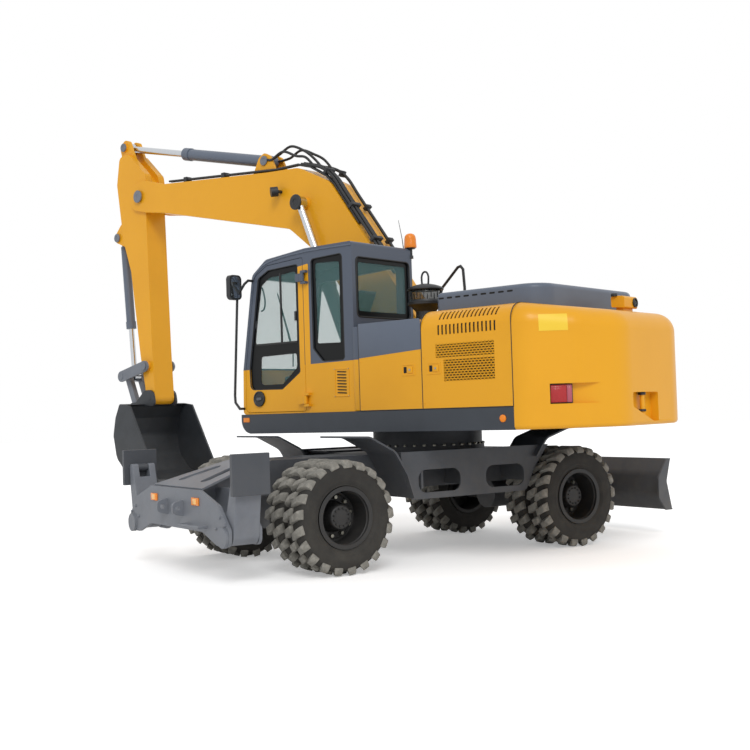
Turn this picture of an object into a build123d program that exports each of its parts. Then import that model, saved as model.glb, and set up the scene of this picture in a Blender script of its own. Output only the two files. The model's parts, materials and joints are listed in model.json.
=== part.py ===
"""A wheeled excavator of the 20-tonne class, in millimetres.

The origin is on the ground under the slew centre. +X points the way the boom points, +Y to the cab's
side and +Z up. The undercarriage stands turned under the upper structure, in a frame of its own.
"""
from build123d import *
import os
from math import cos, pi, radians, sin

# Undercarriage, in its own frame: along (to the outrigger end), across, up
slew_turn = 74.43  # how far the undercarriage's front is turned from the boom's direction
tyre_radius = 525
tread_half = 128  # half the tread's width
lug_count = 16  # on each half of a tread
lug_root_radius = 500
lug_tip_share = 0.19  # half a lug's top as a share of the pitch
bulge_radius = 400
bead_half = 98
wheel_sides = 32  # flats round a rim
rim_radius = 254
rim_flange_radius = 286
inner_tyre_w = 760
outer_tyre_w = 1110
steer_l = 1830
drive_l = -1040
kingpin_w = 600
kingpin_radius = 55
yoke_half = 110  # half the space between the yoke's plates
spindle_radius = 60
spindle_end_w = 1100
axle_tube_radius = 95
seat_gap = 0.3  # between pieces that only rest against each other
axle_bulge_radius = 165
chassis_half_width = 320
chassis_low_z = 700
chassis_top_z = 1040
turret_radius = 612
slew_ring_radius = 590
side_plate_w = 1085
side_plate_thick = 20
tow_plate_w = 180
tow_bore_z = 640
tow_bore_radius = 22
outrigger_rear_plate_l = steer_l + tyre_radius + 300
outrigger_plate_l = outrigger_rear_plate_l + 290
tow_bore_l = outrigger_plate_l + 70
outrigger_plate_thick = 30
outrigger_pivot_w = 1050
outrigger_pivot_z = 430
outrigger_pin_radius = 40
outrigger_gap = 8
pad_joint_w = 1190
pad_joint_z = 975
pad_side = 360
pad_thick = 50
pad_reach = 96
pad_slot_half = 55
blade_l = -2400
blade_half_width = 1215
blade_low_z = 280
blade_high_z = 850
blade_pivot_l = -1500
blade_pivot_z = 560
blade_arm_w = 380
blade_arm_thick = 60
blade_cylinder_w = 180
blade_pin_radius = 30
blade_cylinder_base = (-1710, 880)
blade_cylinder_eye = (-2280, 620)

# Upper structure
half_width = 1250
deck_low_z = 1275
deck_top_z = 1484
deck_front_x = 1600
deck_rear_x = -1980
lane_floor_z = 1325
lane_front_x = 450
lane_rear_x = -420
lane_half_width = 420
cab_right_y = 250
cab_left_y = 1210
cab_rear_x = -60
cab_wall = 55
cab_roof_z = 3205
cab_side_rows = [  # x, z, corner radius
    (cab_rear_x, deck_top_z, 0), (1606, deck_top_z, 40), (1592, 1970, 0), (1410, 3000, 90), (1190, 3150, 120),
    (600, cab_roof_z, 0), (cab_rear_x, cab_roof_z, 30),
]
door_rows = [  # x, z, corner radius of the door's outline
    (640, 1505, 20), (1560, 1505, 60), (1548, 1970, 0), (1372, 2975, 70), (1180, 3080, 80), (640, 3110, 20),
]
door_glass_rows = [(715, 1915, 30), (985, 1745, 30), (1480, 1752, 60), (1488, 1985, 0), (1318, 2955, 60),
                   (1160, 3030, 60), (712, 3050, 30)]
door_gap = 6
rear_side_window_rows = [(75, 2010, 40), (380, 2010, 60), (515, 2150, 40), (515, 3080, 40), (75, 3095, 40)]
right_window_rows = [(120, 1930, 60), (1420, 1930, 60), (1270, 2960, 60), (120, 3020, 60)]
windscreen_y = (330, 1130)
windscreen_z = (1990, 2960)
windscreen_slope = (1410 - 1592) / (3000 - 1970)
rear_window_y = (300, 1150)
rear_window_z = (2440, 3050)
glass_thick = 12
hinge_radius = 14
door_hinge_x = 620
door_hinge_y = 1240
panel_front_x = -155
engine_front_x = -950
panel_inner_y = 300
panel_top_z = 2350
engine_top_z = 2420
panel_wall = 45
shoulder_radius = 190  # the rounding along the top of the engine doors and the counterweight
flange_y = 790  # to which the engine doors reach in under the hood
hood_x = (-2100, -890)
hood_half_width = 930
hood_top_z = 2612
counterweight_rear_x = -2690
tail_fall = 0.145  # how far the counterweight's top falls for each length behind the engine doors
hitch_y = 140
hitch_rows = [(-240, 1310, 0), (-140, 1310, 30), (240, 1450, 30), (240, 1580, 20), (-240, 1580, 20)]  # y, z
hitch_depth = 80
tail_rows = [(-2100, -1240, 300), (-2470, -910, 400), (counterweight_rear_x, -500, 450)]  # x, y, corner radius
light_ends = ((-2262, 1095), (-2565, 735))  # x, y of the ends of the pocket that a tail light stands in
light_depth = 70  # of that pocket at its front end
tail_light_z = (1495, 1675)
tail_light_width = 205
slot_count = 15  # louvres in each row of an engine door
louvre_x = (-1800, -1160)
louvre_width = 20
louvre_rows = [(2175, 2268), (2318, 2392)]  # low z, high z
louvre_reach = 165  # so that the upper row runs through the rounded shoulder
hood_slot_count = 9
hood_slot = (62, 14)
grille_fields = [(-1790, -1120, 1955, 2090, 4), (-1790, -1210, 1735, 1945, 7)]  # x, x, z, z, rows of slots
grille_slot = (96, 13)
grille_bar = 28  # between neighbouring slots of a row
grille_thick = 12
side_lamp_x = -1860
side_lamp_z = 1380
work_light_at = (-2360, -130)
step_side_y = (-1250, -640)
tank_top_z = 2170

# Working equipment: pins are x, z in the boom's plane
boom_y = -180
boom_half = 200
arm_half = 165
boom_foot = (-50, 1850)
boom_tip = (4930, 4540)
boom_cylinder_base = (620, 1350)
boom_cylinder_eye = (1730, 3980)
boom_cylinder_y = 300  # either side of the boom's plane
boom_seat_y = 81  # from a boom cylinder's middle to the plates of its seat
arm_cylinder_base = (2500, 4640)
arm_cylinder_eye = (5350, 5310)
bucket_cylinder_base = (5550, 4050)
link_pin = (5390, 2070)
rocker_pin = (4870, 2190)
bucket_pin = (4830, 1760)
bucket_link_pin = (5200, 1620)
bucket_half = 550
main_pin_radius = 60
cylinder_pin_radius = 45
pin_gap = 0.5
side_gap = 7
rocker_end_y = 250  # from the boom's plane to the ends of the rocker's pins
bucket_wall = 28
tooth_count = 5
boom_rows = [  # x, z, corner radius
    (-300, 1960, 120), (-170, 1640, 120), (90, 1625, 60), (1600, 3400, 220), (2010, 3715, 200),
    (4416, 4248, 0), (4780, 4300, 120), (5110, 4380, 150), (5120, 4700, 130), (4835, 4755, 60),
    (4375, 4633, 0), (2392, 4462, 0), (1830, 4430, 300), (1330, 4190, 260),
]
arm_rows = [  # x, z, corner radius
    (4732, 1662, 96), (4928, 1662, 96), (4945, 1900, 0), (5032, 2332, 0), (5200, 3532, 0),
    (5359, 3983, 0), (5476, 4787, 60), (5404, 5170, 80), (5200, 5185, 60), (4840, 4850, 90), (4800, 4600, 60),
    (4835, 4320, 60), (4772, 2400, 0),
]
bucket_rows = [  # x, z, corner radius: mouth, back, floor
    (4800, 1650, 0), (5020, 1682, 40), (5118, 1492, 80), (5172, 1250, 150), (5110, 950, 200),
    (4880, 720, 200), (4560, 620, 120), (4230, 620, 0),
]

turn = radians(slew_turn)
upper = Plane.XY
under = Plane((0, 0, 0), x_dir=(cos(turn), sin(turn), 0), z_dir=(0, 0, 1))


def at(frame, along, across, up):
    """A point of a frame."""
    return frame.from_local_coords(Vector(along, across, up))


def side_plane(frame, across):
    """A plane across the frame: sketch x runs along it and sketch y up. Its normal points right."""
    return Plane(at(frame, 0, across, 0), x_dir=frame.x_dir, z_dir=-frame.y_dir)


def front_plane(frame, along):
    """A plane along the frame: sketch x runs to the left and sketch y up. Its normal points forwards."""
    return Plane(at(frame, along, 0, 0), x_dir=frame.y_dir, z_dir=frame.x_dir)


def top_plane(frame, up):
    """A level plane at a height: sketch x runs along the frame and sketch y to the left."""
    return Plane(at(frame, 0, 0, up), x_dir=frame.x_dir, z_dir=frame.z_dir)


def outline(plane, rows, holes=(), inset=0):
    """A face from rows of x, y, corner radius, with holes of x, y, radius."""
    with BuildSketch(plane) as face:
        with BuildLine():
            FilletPolyline(*[(x, y) for x, y, r in rows], radius=[r for x, y, r in rows], close=True)
        make_face()
        if inset:
            offset(amount=-inset, kind=Kind.INTERSECTION, mode=Mode.REPLACE)
        for x, y, r in holes:
            with Locations((x, y)):
                Circle(r, mode=Mode.SUBTRACT)
    return face.sketch


def slab(plane, rows, thick, holes=(), inset=0, mode=Mode.ADD):
    """Adds a plate of an outline, centred on its plane."""
    extrude(outline(plane, rows, holes, inset), amount=thick / 2, both=True, mode=mode)


def rect(low_x, low_y, high_x, high_y, radius=0):
    """Outline rows of a rectangle."""
    return [(low_x, low_y, radius), (high_x, low_y, radius), (high_x, high_y, radius), (low_x, high_y, radius)]


def block(frame, low, high, mode=Mode.ADD):
    """Adds a box between two corners of a frame."""
    with BuildSketch(top_plane(frame, low[2])) as base:
        with Locations(((low[0] + high[0]) / 2, (low[1] + high[1]) / 2)):
            Rectangle(high[0] - low[0], high[1] - low[1])
    extrude(base.sketch, amount=high[2] - low[2], mode=mode)


def bar(start, end, radius, mode=Mode.ADD):
    """Adds a round bar between two points."""
    run = Vector(*end) - Vector(*start)
    with BuildSketch(Plane(Vector(*start), z_dir=run)) as ring:
        Circle(radius)
    extrude(ring.sketch, amount=run.length, mode=mode)


def cross_bar(frame, along, up, across_from, across_to, radius, mode=Mode.ADD):
    """Adds a round bar that runs across a frame, such as a pin or a boss."""
    bar(at(frame, along, across_from, up), at(frame, along, across_to, up), radius, mode)


def pipe(points, radius):
    """Adds a tube of eight flats along straight runs that meet in mitres."""
    with BuildLine() as path:
        Polyline(*points)
    with BuildSketch(Plane(path.line @ 0, z_dir=path.line % 0)) as ring:
        RegularPolygon(radius, 8)
    sweep(ring.sketch, path=path.line, transition=Transition.RIGHT)


def flat_faces(plane, loops):
    """Faces between neighbouring loops of across, radius, angle points, each point joined to its like."""
    placed = [[plane.from_local_coords(Vector(x, r * cos(a), r * sin(a))) for x, r, a in loop] for loop in loops]
    faces = []
    for one, two in zip(placed, placed[1:]):
        for k in range(len(one)):
            corners = [one[k - 1], two[k - 1], two[k], one[k]]
            corners = [c for i, c in enumerate(corners) if (c - corners[i - 1]).length > 1e-6]
            if len(corners) > 2:
                faces.append(Face(Wire.make_polygon(corners, close=True)))
    return faces


def faceted_ring(plane, profile, sides):
    """A solid of flat faces round the plane's x axis, from across, radius rows that close a ring."""
    angles = [2 * pi * (k + 0.5) / sides for k in range(sides)]
    loops = [[(x, r / cos(pi / sides), a) for a in angles] for x, r in profile]
    return Solid(Shell(flat_faces(plane, loops + loops[:1])))


def lugged_half(plane, phase):
    """Half a tyre, from its middle to one sidewall: a ring of lugs over a faceted carcass."""
    pitch = 2 * pi / lug_count
    lugs = [(r, pitch * (k + phase + offset)) for k in range(lug_count)
            for offset, r in ((-0.25, lug_root_radius), (-lug_tip_share, tyre_radius),
                              (lug_tip_share, tyre_radius), (0.25, lug_root_radius))]
    angles = [2 * pi * (k + 0.5) / wheel_sides for k in range(wheel_sides)]
    seat = (rim_radius + seat_gap) / cos(pi / wheel_sides)
    tread = [[(x, r, a) for r, a in lugs] for x in (0, tread_half)]
    inside = [[(x, r, a) for a in angles] for x, r in ((tread_half, bulge_radius), (bead_half, seat), (0, seat))]
    faces = flat_faces(plane, tread) + flat_faces(plane, inside)
    for outer, inner in ((tread[0], inside[2]), (tread[1], inside[0])):
        rings = [Wire.make_polygon([plane.from_local_coords(Vector(x, r * cos(a), r * sin(a))) for x, r, a in loop],
                                   close=True) for loop in (outer, inner)]
        faces.append(Face(rings[0], [rings[1]]))
    return Solid(Shell(faces))


def save(part, name):
    """Labels a finished piece and writes it."""
    part.label = name
    export_step(part, f"parts/{name}.step")


os.makedirs("parts", exist_ok=True)

# Chassis: a box beam, its wider middle and the turret with the slew ring
with BuildPart() as chassis:
    slab(side_plane(under, 0), [(-1620, chassis_low_z, 60), (-1620, 960, 60), (-900, chassis_top_z, 0),
                                (steer_l + 270, chassis_top_z, 60), (steer_l + 410, 930, 40),
                                (steer_l + 410, chassis_low_z, 40)],
         2 * chassis_half_width)
    block(under, (-560, -620, chassis_low_z), (900, 620, chassis_top_z))
    bar((0, 0, chassis_top_z), (0, 0, chassis_top_z + 60), turret_radius)
    bar((0, 0, chassis_top_z + 60), (0, 0, deck_low_z - seat_gap), slew_ring_radius)
    for side in (1, -1):
        for along in (steer_l, drive_l):  # the seats of the axles
            block(under, (along - 90, side * 250 - 65, tyre_radius + axle_tube_radius + seat_gap),
                  (along + 90, side * 250 + 65, chassis_low_z + 20))
        cross_bar(under, blade_pivot_l, blade_pivot_z, side * (chassis_half_width - 60),
                  side * (blade_arm_w + 40), 40)
        slab(side_plane(under, side * (chassis_half_width - 30)),
             [(-1620, 740, 0), (-1620, 490, 60), (-1400, 490, 60), (-1300, 740, 0)], 60)
        seat_w = side * blade_cylinder_w
        cross_bar(under, *blade_cylinder_base, seat_w - 84, seat_w + 84, blade_pin_radius)
        for offset_w in (-72, 72):  # the blade cylinder's seat
            slab(side_plane(under, seat_w + offset_w),
                 [(-1610, 780, 0), (-1710, 820, 50), (-1770, 880, 50), (-1710, 940, 50), (-1610, 945, 0)], 20)
save(chassis.part, "chassis_frame")

# Side boxes with two windows each, their ribs, and the guards that reach over the wheels
side_rows = [(-440, 620, 60), (1000, 620, 60), (1085, 860, 0), (1110, 1080, 0), (-760, 1080, 0), (-570, 860, 0)]
with BuildPart() as sides:
    for side in (1, -1):
        slab(side_plane(under, side * (side_plate_w - side_plate_thick / 2)), side_rows, side_plate_thick)
        slab(side_plane(under, side * side_plate_w), rect(400, 680, 910, 900, 90), 3 * side_plate_thick,
             mode=Mode.SUBTRACT)
        slab(side_plane(under, side * side_plate_w), rect(-420, 680, 80, 900, 90), 3 * side_plate_thick,
             mode=Mode.SUBTRACT)
        inner, outer = sorted((side * 620, side * (side_plate_w - side_plate_thick / 2)))
        block(under, (-560, inner, 1040), (900, outer, 1060))
        for along in (-500, 240, 860):
            block(under, (along - 12, inner, 720), (along + 12, outer, 1050))
        guard_inner, guard_outer = sorted((side * 640, side * (side_plate_w + 60)))
        for rows in (
            [(1730, 1240, 0), (1490, 1230, 120), (1215, 1085, 150), (1080, 860, 120), (1010, 640, 0),
             (995, 644, 0), (1062, 866, 120), (1200, 1098, 150), (1486, 1248, 120), (1730, 1258, 0)],
            [(-1420, 1236, 0), (-1000, 1232, 120), (-700, 1140, 120), (-560, 960, 0), (-544, 970, 0),
             (-690, 1156, 120), (-1000, 1250, 120), (-1420, 1254, 0)],
        ):
            extrude(outline(side_plane(under, guard_outer), rows), amount=guard_outer - guard_inner)
save(sides.part, "side_boxes")

# Axles
with BuildPart() as drive_axle:
    cross_bar(under, drive_l, tyre_radius, -600, 600, axle_tube_radius)
    cross_bar(under, drive_l, tyre_radius, -spindle_end_w, spindle_end_w, spindle_radius)
    bar(at(under, drive_l - 190, 0, tyre_radius), at(under, drive_l + 260, 0, tyre_radius), axle_bulge_radius)
save(drive_axle.part, "drive_axle")

with BuildPart() as steer_axle:
    cross_bar(under, steer_l, tyre_radius, -500, 500, axle_tube_radius)
    bar(at(under, steer_l - 260, 0, tyre_radius), at(under, steer_l + 190, 0, tyre_radius), axle_bulge_radius)
    for side in (1, -1):
        for low, high in ((-150, -yoke_half), (yoke_half, 150)):  # the yoke above and below the knuckle
            slab(top_plane(under, tyre_radius + (low + high) / 2),
                 [(steer_l - 75, side * 450, 0), (steer_l - 60, side * 655, 40), (steer_l + 60, side * 655, 40),
                  (steer_l + 75, side * 450, 0)], high - low)
        inner, outer = sorted((side * 440, side * 510))
        block(under, (steer_l - 75, inner, tyre_radius - 150), (steer_l + 75, outer, tyre_radius + 150))
save(steer_axle.part, "steer_axle")

for name, side in (("left", 1), ("right", -1)):
    with BuildPart() as knuckle:
        kingpin_half = yoke_half - seat_gap
        bar(at(under, steer_l, side * kingpin_w, tyre_radius - kingpin_half),
            at(under, steer_l, side * kingpin_w, tyre_radius + kingpin_half), kingpin_radius)
        cross_bar(under, steer_l, tyre_radius, side * kingpin_w, side * spindle_end_w, spindle_radius)
    save(knuckle.part, f"knuckle_{name}")

# Twin wheels: one rim body with two seats, and two tyres on it
hub_radius = 120
rim_profile = [  # across from the machine's middle, radius
    (1150, 0), (1150, hub_radius - 15), (1135, hub_radius), (975, 150), (975, rim_radius - 12),
    (1234, rim_radius - 12), (1234, rim_flange_radius), (1220, rim_flange_radius), (1220, rim_radius),
    (640, rim_radius), (640, rim_radius - 12), (925, rim_radius - 12), (925, 130),
    (850, 120), (850, spindle_radius + pin_gap), (spindle_end_w + 2, spindle_radius + pin_gap),
    (spindle_end_w + 2, 0),
]
for end, along in (("front", steer_l), ("rear", drive_l)):
    for name, side in (("left", 1), ("right", -1)):
        wheel = Plane(at(under, along, 0, tyre_radius), x_dir=under.y_dir * side, z_dir=under.x_dir)
        save(Part(faceted_ring(wheel, rim_profile, wheel_sides).wrapped), f"rims_{end}_{name}")
        with BuildPart() as tyres:
            for middle in (inner_tyre_w, outer_tyre_w):
                centre = wheel.from_local_coords(Vector(middle, 0, 0))
                for half, phase in ((1, -lug_tip_share), (-1, lug_tip_share - 0.5)):  # lugs in turn
                    add(lugged_half(Plane(centre, x_dir=wheel.x_dir * half, z_dir=wheel.z_dir * half), phase))
        save(tyres.part, f"tyres_{end}_{name}")

# Outrigger frame at the steering end: two cross plates, webs and the sloped top plate
frame_half_rows = [(0, 450, 0), (600, 450, 60), (900, 350, 60), (1140, 350, 70), (1150, 500, 60), (950, 700, 60),
                   (570, 820, 40), (0, 820, 0)]
frame_rows = frame_half_rows[1:-1] + [(-x, z, r) for x, z, r in reversed(frame_half_rows[1:-1])]
with BuildPart() as outrigger_frame:
    for along in (outrigger_plate_l, outrigger_rear_plate_l):
        slab(front_plane(under, along), frame_rows, outrigger_plate_thick)
    for side in (1, -1):
        slab(side_plane(under, side * 270),
             [(steer_l + 410, 720, 0), (steer_l + 410, 1030, 0), (outrigger_plate_l - 15, 815, 0),
              (outrigger_plate_l - 15, 470, 0), (outrigger_rear_plate_l, 470, 0)], 30)
        cross_w = side * outrigger_pivot_w
        bar(at(under, outrigger_rear_plate_l, cross_w, outrigger_pivot_z),
            at(under, outrigger_plate_l + 25, cross_w, outrigger_pivot_z), outrigger_pin_radius)
        bar(at(under, outrigger_plate_l, cross_w, outrigger_pivot_z),
            at(under, outrigger_plate_l + 40, cross_w, outrigger_pivot_z), 90)
        block(under, (outrigger_rear_plate_l + 10, side * 200 - 60, 450), (outrigger_plate_l, side * 200 + 60, 480))
        slab(side_plane(under, side * tow_plate_w),
             [(outrigger_plate_l, 560, 0), (outrigger_plate_l + 120, 590, 40), (outrigger_plate_l + 120, 690, 40),
              (outrigger_plate_l, 720, 0)], 30, [(tow_bore_l, tow_bore_z, tow_bore_radius)])
    top_slope = Plane(at(under, outrigger_plate_l - 10, 0, 812), x_dir=under.y_dir,
                      z_dir=under.x_dir * 0.3 + under.z_dir)
    top_plate_run = outrigger_plate_l - steer_l - 385
    with BuildSketch(top_slope) as top_plate:
        with BuildLine():
            Polyline((-560, 10), (-320, top_plate_run), (320, top_plate_run), (560, 10), close=True)
        make_face()
        for side in (1, -1):
            with Locations((side * 215, 360)):
                SlotOverall(430, 120, rotation=90 + side * 14, mode=Mode.SUBTRACT)
    extrude(amount=20)
    pipe([at(under, outrigger_plate_l, 300, 500), at(under, outrigger_plate_l + 95, 300, 500),
          at(under, outrigger_plate_l + 95, 700, 500), at(under, outrigger_plate_l, 700, 500)], 15)
save(outrigger_frame.part, "outrigger_frame")

with BuildPart() as marker_lamps:
    for side in (1, -1):
        block(under, (outrigger_plate_l + 15, side * 480 - 75, 680), (outrigger_plate_l + 35, side * 480 + 75, 750))
save(marker_lamps.part, "marker_lamps")

# Outriggers, folded up, and their pads
arm_low_l = outrigger_rear_plate_l + outrigger_plate_thick / 2 + outrigger_gap
arm_high_l = outrigger_plate_l - outrigger_plate_thick / 2 - outrigger_gap
arm_middle_l = (arm_low_l + arm_high_l) / 2
for name, side in (("left", 1), ("right", -1)):
    with BuildPart() as outrigger:
        extrude(outline(front_plane(under, arm_low_l),
                        [(side * x, z, r) for x, z, r in
                         [(960, 400, 50), (1100, 345, 70), (1160, 420, 60), (pad_joint_w + 32, 800, 0),
                          (pad_joint_w + 38, pad_joint_z + 38, 37), (pad_joint_w - 38, pad_joint_z + 38, 37),
                          (1090, 800, 60), (1000, 560, 60)]],
                        [(side * outrigger_pivot_w, outrigger_pivot_z, outrigger_pin_radius + pin_gap)]),
                amount=arm_high_l - arm_low_l)
        low_w, high_w = sorted((side * 1040, side * 1260))
        block(under, (arm_middle_l - pad_slot_half, low_w, 880), (arm_middle_l + pad_slot_half, high_w, 1060),
              mode=Mode.SUBTRACT)
    save(outrigger.part, f"outrigger_{name}")
    with BuildPart() as pad:
        cross_face = side * (pad_joint_w + pad_reach)
        low_w, high_w = sorted((cross_face, cross_face - side * pad_thick))
        block(under, (arm_middle_l - pad_side / 2, low_w, pad_joint_z - pad_side / 2),
              (arm_middle_l + pad_side / 2, high_w, pad_joint_z + pad_side / 2))
        lug_half = pad_slot_half - seat_gap
        bar(at(under, arm_middle_l - lug_half, side * pad_joint_w, pad_joint_z),
            at(under, arm_middle_l + lug_half, side * pad_joint_w, pad_joint_z), 35)
        low_w, high_w = sorted((side * pad_joint_w, cross_face - side * pad_thick / 2))
        block(under, (arm_middle_l - lug_half, low_w, pad_joint_z - 35),
              (arm_middle_l + lug_half, high_w, pad_joint_z + 35))
    save(pad.part, f"outrigger_pad_{name}")

# Dozer blade with its arms, and its two cylinders
with BuildPart() as blade:
    extrude(outline(side_plane(under, blade_half_width),
                    [(blade_l - 60, blade_low_z, 0), (blade_l - 10, blade_low_z, 0), (blade_l + 60, 450, 200),
                     (blade_l + 60, 680, 200), (blade_l - 10, blade_high_z, 0), (blade_l - 55, blade_high_z, 0),
                     (blade_l + 22, 680, 180), (blade_l + 22, 450, 180)]),
            amount=2 * blade_half_width)
    for side in (1, -1):
        slab(side_plane(under, side * (blade_half_width - 12)),
             [(blade_l - 55, blade_low_z, 0), (blade_l + 40, blade_low_z, 0), (blade_l + 150, 420, 60),
              (blade_l + 150, 640, 60), (blade_l, blade_high_z, 0), (blade_l - 50, blade_high_z, 0),
              (blade_l + 20, 600, 60)], 24)
        slab(side_plane(under, side * blade_arm_w),
             [(blade_pivot_l + 70, blade_pivot_z - 70, 60), (blade_pivot_l + 70, blade_pivot_z + 70, 60),
              (blade_pivot_l - 120, blade_pivot_z + 90, 60), (blade_l + 40, 600, 0), (blade_l + 40, 380, 0)],
             blade_arm_thick, [(blade_pivot_l, blade_pivot_z, 40 + pin_gap)])
        for offset_w in (-72, 72):
            slab(side_plane(under, side * blade_cylinder_w + offset_w),
                 [(blade_l + 40, 520, 0), (blade_cylinder_eye[0] + 50, 560, 50),
                  (blade_cylinder_eye[0] + 50, 690, 50), (blade_l + 40, 720, 0)], 20)
save(blade.part, "dozer_blade")


def unit(start, end):
    """The direction from one x, z pair to another, and their distance."""
    run = Vector(end[0] - start[0], 0, end[1] - start[1])
    return run.normalized(), run.length


def cylinder_barrel(frame, across, base, eye, length, radius, bore, pin, eye_half):
    """Adds a cylinder's barrel: an eye on its base pin, a neck, the tube with its bore and the gland."""
    way, full = unit(base, eye)
    along = frame.x_dir * way.X + frame.z_dir * way.Z
    start = at(frame, base[0], across, base[1])
    cross_bar(frame, *base, across - eye_half, across + eye_half, pin * 1.75)
    bar(start, start + along * pin * 3, eye_half * 0.92)
    bar(start + along * pin * 2.65, start + along * length, radius)
    bar(start + along * (length - 1.6 * radius), start + along * length, radius * 1.14)
    cross_bar(frame, *base, across - radius * 2, across + radius * 2, pin + pin_gap, mode=Mode.SUBTRACT)
    bar(start + along * pin * 3.1, start + along * (length + 10), bore, mode=Mode.SUBTRACT)


def cylinder_rod(frame, across, base, eye, length, radius, pin, eye_half):
    """Adds a cylinder's rod with the eye and the short pin that turns in it."""
    way, full = unit(base, eye)
    along = frame.x_dir * way.X + frame.z_dir * way.Z
    end = at(frame, eye[0], across, eye[1])
    bar(end - along * length, end, radius)
    cross_bar(frame, *eye, across - eye_half, across + eye_half, pin * 1.75)


# each row: name, frame, places across, base pin, rod's eye, barrel length, barrel radius, rod length,
# rod radius, pin radius, half width of the eye
cylinders = [
    ("blade_cylinder", under, (blade_cylinder_w, -blade_cylinder_w), blade_cylinder_base, blade_cylinder_eye,
     470, 52, 420, 30, blade_pin_radius, 40),
    ("boom_cylinder", upper, (boom_y + boom_cylinder_y, boom_y - boom_cylinder_y), boom_cylinder_base,
     boom_cylinder_eye, 1830, 82, 1750, 45, cylinder_pin_radius, 58),
    ("arm_cylinder", upper, (boom_y,), arm_cylinder_base, arm_cylinder_eye, 1690, 75, 1600, 45,
     cylinder_pin_radius, 58),
    ("bucket_cylinder", upper, (boom_y,), bucket_cylinder_base, link_pin, 1300, 62, 1300, 38,
     cylinder_pin_radius, 50),
]
for name, frame, places, base, eye, length, radius, rod_length, rod_radius, pin, eye_half in cylinders:
    with BuildPart() as barrels:
        for across in places:
            cylinder_barrel(frame, across, base, eye, length, radius, rod_radius + pin_gap, pin, eye_half)
    save(barrels.part, f"{name}_barrel")
    with BuildPart() as rods:
        for across in places:
            cylinder_rod(frame, across, base, eye, rod_length, rod_radius, pin, eye_half)
    save(rods.part, f"{name}_rod")

# Upper structure: the deck with the boom's lane, the boom foot's cheeks and the cylinders' seats
lane_left_y = boom_y + lane_half_width
lane_right_y = boom_y - lane_half_width
with BuildPart() as deck:
    slab(top_plane(upper, (deck_low_z + deck_top_z) / 2),
         [(deck_front_x, half_width, 0), (deck_front_x, lane_left_y, 0), (lane_front_x, lane_left_y, 0),
          (lane_front_x, lane_right_y, 0), (deck_front_x - 50, lane_right_y, 0),
          (deck_front_x - 50, -half_width, 0),
          (deck_rear_x, -half_width, 0), (deck_rear_x, half_width, 0)], deck_top_z - deck_low_z)
    low_edges = deck.faces().sort_by(Axis.Z)[0].edges().filter_by(Axis.Y)
    fillet([edge for edge in low_edges if edge.center().X > lane_front_x + 1], 150)
    block(upper, (lane_rear_x, lane_right_y, lane_floor_z), (lane_front_x + 10, lane_left_y, deck_top_z + 10),
          mode=Mode.SUBTRACT)
    for side in (1, -1):
        slab(side_plane(upper, boom_y + side * (boom_half + 32)),
             [(-420, deck_low_z + 20, 0), (-330, 1900, 100), (-50, 2010, 120), (120, 1850, 90),
              (330, 1450, 100), (lane_front_x, deck_low_z + 20, 0)], 44)
        for inner in (boom_cylinder_y - boom_seat_y, boom_cylinder_y + boom_seat_y):
            slab(side_plane(upper, boom_y + side * inner),
                 [(360, deck_low_z + 5, 0), (360, 1400, 0), (560, 1440, 60), (700, 1420, 60), (700, 1290, 60),
                  (lane_front_x, deck_low_z + 5, 0)], 24)
        cross_bar(upper, *boom_cylinder_base, boom_y + side * (boom_cylinder_y - boom_seat_y - 12),
                  boom_y + side * (boom_cylinder_y + boom_seat_y + 12), cylinder_pin_radius)
    cross_bar(upper, *boom_foot, boom_y - boom_half - 60, boom_y + boom_half + 60, main_pin_radius)
save(deck.part, "slew_deck")

# Cab: a shell with its door opening and windows
cab_middle_y = (cab_right_y + cab_left_y) / 2
cab_width = cab_left_y - cab_right_y
with BuildPart() as cab:
    slab(side_plane(upper, cab_middle_y), cab_side_rows, cab_width)
    slab(side_plane(upper, cab_middle_y), cab_side_rows, cab_width - 2 * cab_wall, inset=cab_wall,
         mode=Mode.SUBTRACT)
    slab(side_plane(upper, cab_left_y), door_rows, 3 * cab_wall, inset=-door_gap, mode=Mode.SUBTRACT)
    slab(side_plane(upper, cab_left_y), rear_side_window_rows, 3 * cab_wall, mode=Mode.SUBTRACT)
    slab(side_plane(upper, cab_right_y), right_window_rows, 3 * cab_wall, mode=Mode.SUBTRACT)
    extrude(outline(front_plane(upper, 1200), rect(windscreen_y[0], windscreen_z[0], windscreen_y[1],
                                                   windscreen_z[1])), amount=500, mode=Mode.SUBTRACT)
    slab(front_plane(upper, cab_rear_x), rect(rear_window_y[0], rear_window_z[0], rear_window_y[1],
                                              rear_window_z[1], 50), 3 * cab_wall, mode=Mode.SUBTRACT)
    for up in (1620, 2900):  # hinge pins of the door, on the strip behind it
        bar((door_hinge_x, door_hinge_y, up - 45), (door_hinge_x, door_hinge_y, up + 45), hinge_radius - pin_gap)
        block(upper, (door_hinge_x - 60, cab_left_y - 5, up - 70), (door_hinge_x + 14, door_hinge_y + 14, up - 45))
        block(upper, (door_hinge_x - 60, cab_left_y - 5, up + 45), (door_hinge_x + 14, door_hinge_y + 14, up + 70))
save(cab.part, "cab_shell")

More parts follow.
